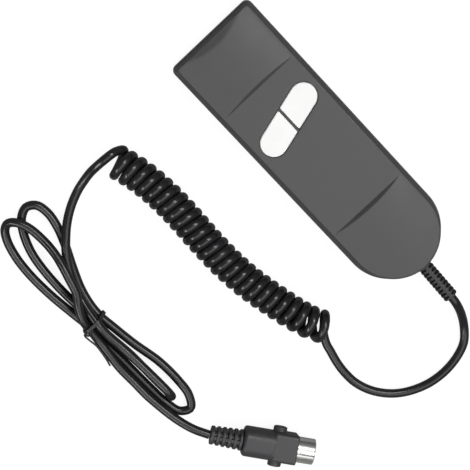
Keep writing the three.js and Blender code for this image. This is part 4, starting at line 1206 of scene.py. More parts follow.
@dataclass(frozen=True)
class HousingShape:
    """Outline and top surface that both covers share.

    Attributes:
        length: Length of the handset.
        width: Its width.
        seam: Height of the joint between the covers.
        face: Height of the flat band round the buttons.
        crown: How much higher the caps are along the middle.
        crown_margin: How far from the side the dome begins.
        upper_crease: Where the flat band meets the cap at the square end.
        lower_crease: Where it meets the cap at the rounded end.
        crease_run: How far the ramp between band and cap reaches along the middle.
        bevel_run: How far the end bevel reaches along the middle.
        bevel_half: How far it reaches to each side.
        end_lean: How far inside the square end the bevel's foot is.
        cap_level: Up to where the rows on the cap at the square end are straight.
        arc: Facets in a quarter of the rounded end.
        bend: Facets in a square corner.
        columns: Facets across the top.
        fade: How far from a crease its rows are straight again.
        soften: Width of the rounding along the crests.
    """

    length: float = 156.0
    width: float = 50.0
    seam: float = 10.0
    face: float = 19.0
    crown: float = 2.25
    crown_margin: float = 4.0
    upper_crease: float = 44.0
    lower_crease: float = -33.5
    crease_run: float = 1.76
    bevel_run: float = 3.6
    bevel_half: float = 16.5
    end_lean: float = 2.0
    cap_level: float = 64.0
    arc: int = 40
    bend: int = 8
    columns: int = 72
    fade: float = 8.0
    soften: float = 0.35

    @property
    def top_y(self) -> float:
        """Where the square end is."""
        return self.length / 2

    @property
    def centre_y(self) -> float:
        """Where the centre of the rounded end is."""
        return -self.length / 2 + self.width / 2

    def crown_at(self, x: float) -> float:
        """Height of the dome above the flat band at x."""
        return self.crown * max(0.0, 1 - (x / (self.width / 2 - self.crown_margin)) ** 2)

    def crest(self, x: float) -> float:
        """How far from the crease the ramp meets the dome at x."""
        return max(0.15, self.crease_run * self.crown_at(x) / self.crown)

    def height(self, x: float, y: float) -> float:
        """Height of the top surface.

        Args:
            x: Place across.
            y: Place along.

        Returns:
            The height, with its crests softened.
        """
        away = max(y - self.upper_crease, self.lower_crease - y)
        if away <= 0:
            return self.face
        ramp = away * self.crown / self.crease_run
        foot = self.top_y - self.end_lean
        slope = (self.crown - self.crown_at(self.bevel_half)) / self.bevel_run
        bevel = self.crown_at(self.bevel_half) + slope * (foot - y)
        rise = soft_least(self.crown_at(x), bevel, self.soften)
        return self.face + max(0.0, soft_least(rise, ramp, self.soften))

    def rows(self, last: float) -> list[Row]:
        """Rows along the straight sides, from the rounded end to the square corners.

        Args:
            last: Where the row before the square corners meets the sides.

        Returns:
            The rows.
        """
        steps = (6.0, 4.0, 2.6, 1.8, 1.4, 1.15, 1.0, 0.85, 0.6, 0.3)

        def offset(step: float, x: float) -> float:
            """How far from the crease a row lies.

            Args:
                step: The row, counted so that 1 is the crest of the ramp.
                x: Place across.

            Returns:
                The distance.
            """
            crest = self.crest(x)
            if step <= 1:
                return step * crest
            share = (step - 1) / (steps[0] - 1)
            return crest * (1 - share) + self.fade * share

        def straight(y: float) -> Row:
            """A straight row at y."""
            return Row(y, lambda x: y)

        lower, upper = self.lower_crease, self.upper_crease
        found = [straight(float(y)) for y in np.linspace(self.centre_y, lower - self.fade, 6)[1:-1]]
        for step in steps:
            found.append(Row(lower - offset(step, 30), lambda x, s=step: lower - offset(s, x)))
        found.extend(straight(float(y)) for y in np.linspace(lower, upper, 26))
        for step in reversed(steps):
            found.append(Row(upper + offset(step, 30), lambda x, s=step: upper + offset(s, x)))
        start = upper + self.fade
        level = self.cap_level
        found.extend(straight(float(y)) for y in np.linspace(start, level, 6)[1:])
        for share in (0.3, 0.55, 0.75, 0.88, 0.95, 1.0):
            edge = level + (last - level) * share
            found.append(Row(edge, lambda x, s=share: level + (self.bevel_crest(x, last) - level) * s))
        return found

    def bevel_crest(self, x: float, limit: float) -> float:
        """Where the end bevel meets the dome at x, but no further than a limit."""
        foot = self.top_y - self.end_lean
        return min(limit, foot - self.bevel_run * (1 - (x / self.bevel_half) ** 2))

    def side_points(self, ring: Ring, last: float) -> list[Pair]:
        """Points up the right side of a loop.

        Args:
            ring: The loop.
            last: Where the row before the square corners meets the sides.

        Returns:
            The points, from just past the tip to the square corner.
        """
        half, top = self.width / 2 - ring.side, self.top_y - ring.end
        points = []
        for i in range(1, self.arc + 1):
            angle = math.pi / 2 * (i / self.arc - 1)
            points.append((half * math.cos(angle), self.centre_y + half * math.sin(angle)))
        points.extend((half, row.edge) for row in self.rows(last))
        x, y = half - ring.corner, top - ring.corner
        return points + [(x + ring.corner * c, y + ring.corner * s) for c, s in quarter(self.bend)]

    def loop(self, ring: Ring, last: float) -> list[Pair]:
        """A whole loop: tip, right side up, square end across, left side down.

        Args:
            ring: The loop.
            last: Where the row before the square corners meets the sides.

        Returns:
            The points, counter-clockwise.
        """
        right = self.side_points(ring, last)
        corner_x, top = right[-1]
        across = [(corner_x * (2 * j / self.columns - 1), top) for j in range(self.columns - 1, 0, -1)]
        left = [(-x, y) for x, y in reversed(right)]
        return [(0.0, self.centre_y - (self.width / 2 - ring.side)), *right, *across, *left]

    def cover(self, rings: Sequence[Ring], sink: float, low: float) -> Solid:
        """A body between loops, closed by the domed top and a flat bottom.

        Args:
            rings: The loops, from the bottom up.
            sink: How far the whole top lies below the surface.
            low: Height of the bottom.

        Returns:
            The body.
        """
        last_ring = rings[-1]
        last = self.top_y - max(ring.end + ring.corner for ring in rings) - 0.1
        right = self.side_points(last_ring, last)
        rows = [None] * self.arc + self.rows(last) + [None] * (self.bend + 1)
        outline = self.loop(last_ring, last)
        tops = [self.height(x, y) - sink for x, y in outline]
        count = len(outline)
        loops = []
        for ring in rings:
            level = []
            for (x, y), top in zip(self.loop(ring, last), tops):
                level.append((x, y, top + ring.height if ring.top else low + ring.height))
            loops.append(level)
        body = Solid.loft(loops)
        body.faces.pop()
        first = (len(loops) - 1) * count
        inner = len(body.points)
        inside = []
        for (edge_x, edge_y), row in list(zip(right, rows))[:-1]:
            for column in range(1, self.columns):
                x = edge_x * (2 * column / self.columns - 1)
                y = edge_y
                if row is not None:
                    y = row.line(x)
                elif edge_y > last:
                    crest = self.bevel_crest(x, last)
                    y = crest + (right[-1][1] - crest) * (edge_y - last) / (right[-1][1] - last)
                inside.append((x, y, self.height(x, y) - sink))
        body.points.extend(inside)

        def at(row: int, column: int) -> int:
            """Finds a point of the top.

            Args:
                row: Its row, from the rounded end.
                column: Its column, from the left.

            Returns:
                Its number.
            """
            if column == self.columns:
                return first + row + 1
            if column == 0:
                return first + count - 1 - row
            if row == len(right) - 1:
                return first + len(right) + self.columns - column
            return inner + row * (self.columns - 1) + column - 1

        for column in range(self.columns):
            body.faces.append((first, at(0, column + 1), at(0, column)))
        for row in range(len(right) - 1):
            for column in range(self.columns):
                steps = ((0, 0), (0, 1), (1, 1), (1, 0))
                body.faces.append(tuple(at(row + i, column + j) for i, j in steps))
        return body

    def outline(self, inset: float, corner: float, steps: int = 8) -> list[Pair]:
        """A plain outline that is inset alike all round.

        Args:
            inset: How far it is inside the widest outline.
            corner: Radius of its square corners.
            steps: Facets in a square corner. The rounded end has six times as many.

        Returns:
            The points, counter-clockwise.
        """
        half, top = self.width / 2 - inset, self.top_y - inset
        square = corner_outline(
            [(1, 0, half), (0, 1, top), (-1, 0, half), (0, -1, 0)], [corner, corner, 0.01, 0.01], steps
        )[: 2 * (steps + 1)]
        turns = [math.pi + math.pi * i / (6 * steps) for i in range(6 * steps + 1)]
        return [*square, *((half * math.cos(t), self.centre_y + half * math.sin(t)) for t in turns)]


@dataclass(frozen=True)
class Pill:
    """The slanted opening that holds both buttons.

    Attributes:
        length: Its length.
        width: Its width.
        tilt: How much it slants.
        y: Where its middle is.
        bar: Width of the bar between the buttons.
    """

    length: float = 39.6
    width: float = 13.4
    tilt: float = math.radians(15)
    y: float = 23.0
    bar: float = 0.7

    def edges(self, grow: float) -> list[Edge]:
        """The four straight edges of the whole pill.

        Args:
            grow: How far each is moved outwards.

        Returns:
            The edges: far end, upper side, near end, lower side.
        """
        along = (math.cos(self.tilt), math.sin(self.tilt))
        across = (-along[1], along[0])
        lift = (along[1] * self.y, across[1] * self.y)
        return [
            (*along, self.length / 2 + grow + lift[0]),
            (*across, self.width / 2 + grow + lift[1]),
            (-along[0], -along[1], self.length / 2 + grow - lift[0]),
            (-across[0], -across[1], self.width / 2 + grow - lift[1]),
        ]

    def whole(self, grow: float, steps: int = 20) -> list[Pair]:
        """Outline of the whole pill.

        Args:
            grow: How far it is moved outwards.
            steps: Facets in each quarter.

        Returns:
            The points.
        """
        return corner_outline(self.edges(grow), [self.width / 2 + grow] * 4, steps)

    def half(self, side: Side, grow: float, clearance: float, corner: float, steps: int = 20) -> list[tuple]:
        """Outline of one half, cut along a line beside the bar.

        Args:
            side: Which half.
            grow: How far its outer edges are moved outwards.
            clearance: Space between it and the bar.
            corner: Radius of the two corners at the bar.
            steps: Facets in each corner.

        Returns:
            The points.
        """
        far, upper, near, lower = self.edges(grow)
        cut = self.bar / 2 + clearance
        outer = self.width / 2 + grow
        if side is Side.RIGHT:
            return corner_outline([far, upper, (-1, 0, -cut), lower], [outer, corner, corner, outer], steps)
        return corner_outline([near, lower, (1, 0, -cut), upper], [outer, corner, corner, outer], steps)

    def middle(self, side: Side) -> Pair:
        """Middle of one button's face."""
        reach = (self.length / 2 + self.bar / 2) / 2 * side.value
        return reach * math.cos(self.tilt), self.y + reach * math.sin(self.tilt)


@dataclass(frozen=True)
class Handset:
    """The two covers and what is cut into them.

    Attributes:
        shape: Outline and top surface.
        pill: The opening for the buttons.
        gap: How far each cover stays away from the seam.
        wall: Thickness of the front cover.
        roll: Radius of the opening's edge.
        bosses: Radius of the screw bosses in the front cover and in the rear one.
        standoff: Radius of the posts for the board and the clamp.
        holes: Radius of the cover screws' holes and of the small screws' holes.
        screw_spots: Where the cover screws are.
        board_spots: Where the board's screws are.
        clamp_spots: Where the cable clamp's screws are.
        neck: Radius of the hole for the strain relief.
    """

    shape: HousingShape = HousingShape()
    pill: Pill = Pill()
    gap: float = 0.15
    wall: float = 2.0
    roll: float = 0.45
    bosses: Pair = (3.5, 3.9)
    standoff: float = 2.8
    holes: Pair = (1.75, 1.4)
    screw_spots: tuple[Pair, ...] = ((-17, 66), (17, 66), (-15, -56), (15, -56))
    board_spots: tuple[Pair, ...] = ((-14.6, -4.6), (14.6, -4.6), (-14.6, 44.6), (14.6, 44.6))
    clamp_spots: tuple[Pair, ...] = ((-7.5, -57), (7.5, -57))
    neck: float = 4.4

    def rim(self, start: Ring, over: Ring, steps: int = 6) -> list[Ring]:
        """Loops of the rounded edge between wall and top.

        Args:
            start: The last loop of the wall.
            over: The loop where the edge meets the top surface.
            steps: How many loops there are.

        Returns:
            The loops after the first.
        """
        lean = (start.side + 0.47, start.end + 0.25, start.corner - 0.1, 0.0)
        first = (start.side, start.end, start.corner, start.height)
        curve = bend(first, lean, (over.side, over.end, over.corner, 0.0), steps)
        return [Ring(a, b, c, h, True) for a, b, c, h in curve[1:]]

    def front(self) -> bpy.types.Object:
        """Makes the front cover with its opening, bar, bosses and cord notch.

        Returns:
            The cover.
        """
        wall_top = Ring(1.95, 1.4, 1.5, -1.5, True)
        rings = [
            Ring(0.75, 0.75, 2.4, 0.0),
            Ring(0.6, 0.6, 2.4, 0.15),
            Ring(0.6, 0.6, 2.4, 0.8),
            Ring(0.68, 0.66, 2.4, 1.0),
            Ring(1.0, 0.85, 2.35, 1.2),
            Ring(1.12, 0.92, 2.3, 1.45),
            wall_top,
            *self.rim(wall_top, Ring(3.2, 2.1, 1.2, 0.0, True)),
        ]
        low = self.shape.seam + self.gap
        cover = self.shape.cover(rings, 0.0, low).build("front_cover_shell")
        hollow = [Ring(2.6, 2.6, 1.0, -1.0), Ring(4.1, 4.0, 0.6, 0.0, True)]
        coarse = HousingShape(arc=16, bend=3, columns=24)
        carve(cover, "DIFFERENCE", coarse.cover(hollow, self.wall, low))
        inside = self.shape.face - 1.0
        bosses = [Solid.post(x, y, self.bosses[0], low, inside) for x, y in self.screw_spots]
        carve(cover, "UNION", Solid().join(*bosses))
        carve(cover, "DIFFERENCE", Solid().join(*self.front_tools(low)))
        carve(cover, "UNION", self.bar())
        return dress(smooth(cover), SPARKED_ABS, "housing", "front_cover")

    def front_tools(self, low: float) -> list[Solid]:
        """What is cut out of the front cover: the pill with its rolled edge, screw holes, cord notch.

        Args:
            low: Height of the cover's bottom.

        Returns:
            The tools.
        """
        face, roll, clearance = self.shape.face, self.roll, 0.3
        levels = [(0.0, 14.0), *((roll * (1 - c), face - roll + roll * s) for c, s in quarter(6))]
        levels[-1] = (roll, face + 0.002)
        levels.append((roll, face + 4))
        tools = [Solid.prism([(self.pill.whole(clearance + grow), z) for grow, z in levels])]
        tools.extend(Solid.post(x, y, self.holes[0], low - 1, 15.5, 24) for x, y in self.screw_spots)
        notch = Solid.turned([(-80.0, self.neck), (-73.0, self.neck)], 48)
        tools.append(notch.moved(lengthwise(self.shape.seam)))
        return tools

    def bar(self) -> Solid:
        """The thin bar between the buttons, sunk a little below the face, with rounded upper edges.

        Returns:
            The bar.
        """
        reach = self.pill.width / 2 / math.cos(self.pill.tilt) + 0.8
        top, half = self.shape.face - 0.4, self.pill.bar / 2
        section = [(-half, 16.4), (half, 16.4), *bend((half, top - 0.25), (half, top), (half - 0.25, top), 4)]
        section.extend(bend((-half + 0.25, top), (-half, top), (-half, top - 0.25), 4))
        rings = [[(x, self.pill.y + end * reach, z) for x, z in section] for end in (-1, 1)]
        return Solid.loft(rings)

    def rear(self) -> bpy.types.Object:
        """Makes the rear cover with its bosses, wells, bare label field and cord notch.

        Returns:
            The cover.
        """
        shape, top = self.shape, self.shape.seam - self.gap
        levels = [(4.2, 0.0), (2.9, 0.0)]
        levels += bend((2.8, 0.02), (0.9, 0.05), (0.45, 2.3), 8)
        levels += [(0.2, 4.4), (0.03, 7.0), (0.0, top - 0.32)]
        levels += bend((0.0, top - 0.3), (0.0, top), (0.3, top), 4)[1:]
        outer = Solid.prism([(shape.outline(i, max(3.0 - i, 0.4)), z) for i, z in levels])
        cover = outer.build("rear_cover_shell")
        hollow = [(3.4, 2.0), (2.4, 2.3), (2.0, 3.2), (2.0, shape.seam + 1)]
        carve(cover, "DIFFERENCE", Solid.prism([(shape.outline(i, 0.8, 4), z) for i, z in hollow]))
        low = 1.0
        bosses = [Solid.post(x, y, self.bosses[1], low, top) for x, y in self.screw_spots]
        bosses += [Solid.post(x, y, self.standoff, low, 5.5, 32) for x, y in self.board_spots]
        bosses += [Solid.post(x, y, self.standoff, low, 12.2, 32) for x, y in self.clamp_spots]
        cradle = [(x, y - 57.0) for x, y in rectangle(7.8, 5.0, 0.5, 4)]
        bosses.append(Solid.prism([(cradle, low), (cradle, 7.5)]))
        carve(cover, "UNION", Solid().join(*bosses))
        carve(cover, "DIFFERENCE", Solid().join(*self.rear_tools(top)))
        return dress(smooth(cover), SPARKED_ABS, "housing", "rear_cover")

    def rear_tools(self, top: float) -> list[Solid]:
        """What is cut out of the rear cover: screw wells and holes, label field, cord notch and flange seat.

        Args:
            top: Height of the cover's top edge.

        Returns:
            The tools.
        """
        tools = []
        hole, small = self.holes
        well = [(3.35, -0.5), (3.35, 0.0), (3.1, 0.12), (3.0, 0.3), (3.0, 3.2), (hole, 3.2), (hole, top + 1)]
        for x, y in self.screw_spots:
            tools.append(Solid.prism([([(x + a, y + b) for a, b in circle(r, 40)], z) for r, z in well]))
        for x, y in self.board_spots:
            tools.append(Solid.post(x, y, small, 2.4, 8.0, 24))
        for x, y in self.clamp_spots:
            tools.append(Solid.post(x, y, small, 7.45, 13.0, 24))
        field_levels = [(0.0, -0.5), (0.0, 0.0), (0.12, 0.3), (0.3, 0.4)]
        tools.append(Solid.prism([(rectangle(26, 44, 1.5, 6, i), z) for i, z in field_levels]))
        seat = Solid.turned([(-80.0, self.neck), (-73.3, self.neck), (-73.3, 5.7), (-62.0, 5.7)], 48)
        tools.append(seat.moved(lengthwise(self.shape.seam)))
        return tools


@dataclass(frozen=True)
class Button:
    """One white push button.

    Attributes:
        side: Which half of the pill it fills.
        pill: The opening.
        top: Height of its face at rest.
        low: Height of its lower end.
        round_off: Radius of its upper edge.
        wall: Thickness of its cap.
    """

    side: Side
    pill: Pill = Pill()
    top: float = 19.25
    low: float = 15.5
    round_off: float = 0.6
    wall: float = 1.6

    def build(self) -> bpy.types.Object:
        """Makes the button with its flange, pocket and stem.

        Returns:
            The button.
        """
        levels = [(1.1, self.low + 0.1), (1.1, 16.6), (1.0, 16.7), (0.15, 16.72), (0.0, 16.95)]
        levels += [(-self.round_off * (1 - c), self.top - self.round_off * (1 - s)) for c, s in quarter(8)]
        outlines = [(self.outline(grow), z) for grow, z in [(1.0, self.low), *levels]]
        cap = Solid.prism(outlines).build(self.side.body)
        inside = self.outline(-self.wall)
        carve(cap, "DIFFERENCE", Solid.prism([(inside, self.low - 1), (inside, self.top - self.wall)]))
        x, y = self.pill.middle(self.side)
        carve(cap, "UNION", Solid.post(x, y, 2.0, self.low, self.top - self.wall / 2, 32))
        body = self.side.body
        return dress(smooth(cap), BUTTON_ABS, "button", f"{body}_cap", body=body)

    def outline(self, grow: float) -> list[Pair]:
        """Its plan at one height.

        Args:
            grow: How far outside its face the plan is.

        Returns:
            The points.
        """
        inwards = max(-grow, 0.0)
        return self.pill.half(self.side, grow, 0.3 + inwards, max(0.75 - inwards, 0.1))


@dataclass(frozen=True)
class Relief:
    """The slotted strain relief where the cord leaves the handset.

    Attributes:
        radius: Its radius over the ribs.
        bore: Radius of its bore.
        end: Where its free end is.
        wall: Where the handset's end is.
        lean: How much it leans to the left outside the handset.
        slots: Slots on each side.
        pitch: Distance from slot to slot.
        slot: Width of a slot.
        spine: Width of the strips that join the ribs above and below.
        height: Height of its axis.
    """

    radius: float = 3.8
    bore: float = 2.3
    end: float = -98.95
    wall: float = -78.0
    lean: float = math.radians(2)
    slots: int = 9
    pitch: float = 2.25
    slot: float = 0.85
    spine: float = 1.7
    height: float = 10.0

    def rib(self, width: float) -> Solid:
        """One rib, a ring with rounded edges, drawn about its own middle.

        Args:
            width: Its width along the cord.

        Returns:
            The rib.
        """
        half, edge = width / 2, min(0.3, width / 3)
        over = rolled((-half, self.radius), (half, self.radius), edge)
        return Solid.hoop([(-half, self.bore), *over, (half, self.bore)], 48)

    def build(self) -> bpy.types.Object:
        """Makes the ribs by Geometry Nodes, and the sleeve that they sit on.

        Returns:
            The ribs and the sleeve, joined into one piece.
        """
        turn = lengthwise(self.height)
        width, tip_share = self.pitch - self.slot, 0.72
        first = self.end + self.pitch * tip_share + self.pitch / 2
        spots = [(0.0, first + self.pitch * i, self.height) for i in range(self.slots - 1)]
        rib = self.rib(width).moved(Matrix.Rotation(math.pi / 2, 4, "Z"))
        ribs = Pattern("strain_relief_sleeve", spots).build(rib, RELIEF_VINYL)
        tip = self.end + self.pitch * tip_share - self.slot / 2
        root = first + self.pitch * (self.slots - 1) - width / 2
        place = turn @ Matrix.Translation(((self.end + tip) / 2, 0, 0))
        solid = self.rib(tip - self.end).moved(place)
        neck = [
            (root, self.bore), (root, 3.5), (root + 0.3, 3.8), (self.wall - 0.6, 3.85),
            (self.wall - 0.3, 4.1), (-73.0, 4.1), (-73.0, 5.3), (-72.9, 5.4), (-71.1, 5.4), (-71.0, 5.3),
            (-71.0, self.bore),
        ]
        solid.join(Solid.hoop(neck, 48).moved(turn))
        for up in (-1, 1):
            solid.join(self.strip(up, self.end + 0.5, root + 0.2))
        piece = self.merge(ribs, smooth(solid.build("sleeve")))
        for vertex in piece.data.vertices:
            vertex.co.x += min(0.0, vertex.co.y - self.wall * MM) * math.tan(self.lean)
        return dress(piece, RELIEF_VINYL, "cord_jacket", "strain_relief")

    def strip(self, up: int, start: float, end: float) -> Solid:
        """A strip along the ribs, above or below.

        Args:
            up: 1 for the upper strip and -1 for the lower one.
            start: Where it begins.
            end: Where it ends.

        Returns:
            The strip.
        """
        half = self.spine / 2
        section = []
        for x in np.linspace(-half, half, 7):
            section.append((float(x), math.sqrt((self.radius - 0.02) ** 2 - float(x) ** 2)))
        section += [(half, self.bore + 0.05), (-half, self.bore + 0.05)]
        return Solid.loft([[(x, y, self.height + up * z) for x, z in section] for y in (start, end)])

    @staticmethod
    def merge(piece: bpy.types.Object, other: bpy.types.Object) -> bpy.types.Object:
        """Joins one object's mesh into another.

        Args:
            piece: The object that stays.
            other: The object that goes.

        Returns:
            The object that stays.
        """
        both = [piece, other]
        with bpy.context.temp_override(active_object=piece, object=piece, selected_editable_objects=both):
            bpy.ops.object.join()
        return piece


# --- Tie ---


@dataclass(frozen=True)
class TwistTie:
    """The covered wire that holds the bundle: a flat band, a twisted knot and a long tail.

    Attributes:
        y: Where it goes round the bundle.
        width: Width of the band.
        thick: Its thickness.
        tail: Thickness of the tail.
        tail_spots: Its way, as spots beside the last strand: how far from the tie, how many degrees up
            round the strand and how far from its surface.
        knot_spots: The way of the twisted wires, in the same terms.
        twists: How often the wires go round each other.
    """

    y: float = 13.5
    width: float = 2.0
    thick: float = 0.7
    tail: float = 1.2
    tail_spots: tuple[Triple, ...] = (
        (0.4, 32, 0.9), (0.5, 5, 1.5), (1.6, -3, 1.9), (4.2, 10, 1.3),
        (8.4, 42, 0.75), (13.6, 45, 0.75), (17.4, 40, 0.8), (21.0, 18, 0.9),
    )
    knot_spots: tuple[Triple, ...] = ((0.8, 125, 0.75), (1.7, 85, 0.8), (1.9, 50, 0.9), (0.9, 22, 1.0))
    twists: float = 1.8

    def band_path(self, cord: Cord, clearance: float) -> list[Pair]:
        """The line that the band takes round the strands.

        Args:
            cord: The cord that it holds.
            clearance: Space between the strands and the middle of the band.

        Returns:
            Points in X and Z.
        """
        strands = [(p.x, p.z) for p in smooth_path(cord.bundle(), 0.5) if abs(p.y - self.y) < self.width]
        radius = cord.diameter / 2 + clearance
        cloud = sorted((x + a, z + b) for x, z in strands for a, b in circle(radius, 48))

        def chain(points: Iterable[Pair]) -> list[Pair]:
            """Makes one side of the line that goes round the points.

            Args:
                points: The points, from one end to the other.

            Returns:
                The side, without its last point.
            """
            kept: list[Pair] = []
            for p in points:
                while len(kept) > 1:
                    (ox, oz), (ax, az) = kept[-2], kept[-1]
                    if (ax - ox) * (p[1] - oz) - (az - oz) * (p[0] - ox) > 0:
                        break
                    kept.pop()
                kept.append(p)
            return kept[:-1]

        return chain(cloud) + chain(reversed(cloud))

    def band(self, cord: Cord) -> Solid:
        """The band itself, with rounded edges.

        Args:
            cord: The cord that it holds.

        Returns:
            The band.
        """
        loop = [Vector((x, 0, z)) for x, z in self.band_path(cord, 0.32 + self.thick / 2)]
        loop.append(loop[0])
        count = 96
        travelled = np.cumsum([0.0] + [(b - a).length for a, b in zip(loop, loop[1:])])
        table = np.array([tuple(p) for p in loop])
        wanted = np.linspace(0, travelled[-1], count, endpoint=False)
        line = [Vector([float(np.interp(w, travelled, table[:, k])) for k in range(3)]) for w in wanted]
        half, thick = self.width / 2 - 0.02, self.thick / 2 - 0.02
        section = corner_outline([(1, 0, half), (0, 1, thick), (-1, 0, half), (0, -1, thick)], [0.3] * 4, 3)
        rings = []
        for i, spot in enumerate(line):
            along = (line[(i + 1) % count] - line[i - 1]).normalized()
            out = Vector((along.z, 0, -along.x))
            rings.append([tuple(spot + Vector((0, self.y + a, 0)) + out * b) for a, b in section])
        return Solid.loft(rings, around=True)

    def beside(self, path: list[Vector], drop: float, degrees: float, apart: float) -> Vector:
        """A spot beside the last strand of the bundle, on its left.

        Args:
            path: The bundle's centreline.
            drop: How far from the tie, towards the plug.
            degrees: How far up round the strand.
            apart: Distance from the strand's surface.

        Returns:
            The spot.
        """
        strand = [p for p in path if p.y >= self.y - drop][-1]
        reach, angle = Cord.diameter / 2 + apart, math.radians(degrees)
        return Vector((strand.x - reach * math.cos(angle), self.y - drop, strand.z + reach * math.sin(angle)))

    def build(self, cord: Cord) -> bpy.types.Object:
        """Makes the whole tie.

        Args:
            cord: The cord that it holds.

        Returns:
            The tie.
        """
        path = smooth_path(cord.bundle(), 0.5)
        solid = self.band(cord)
        line = smooth_path([self.beside(path, *spot) for spot in self.tail_spots], 0.5)
        solid.join(hose(line, self.tail * 0.34, 12, [Vector((0.5, 0.1, 0.6))] * len(line)))
        twist = smooth_path([self.beside(path, *spot) for spot in self.knot_spots], 0.2)
        for start in (0.0, math.pi):
            wire = []
            for k, spot in enumerate(twist):
                turn = start + 2 * math.pi * self.twists * k / len(twist)
                aside = Vector((0.25 * math.sin(turn), 0.5 * math.cos(turn), 0.4 * math.sin(turn)))
                wire.append(spot + aside)
            solid.join(hose(wire, 0.42, 10))
        return dress(smooth(solid.build("twist_tie_wire"), 50), TIE_VINYL, "tie", "twist_tie")


# --- Plug ---


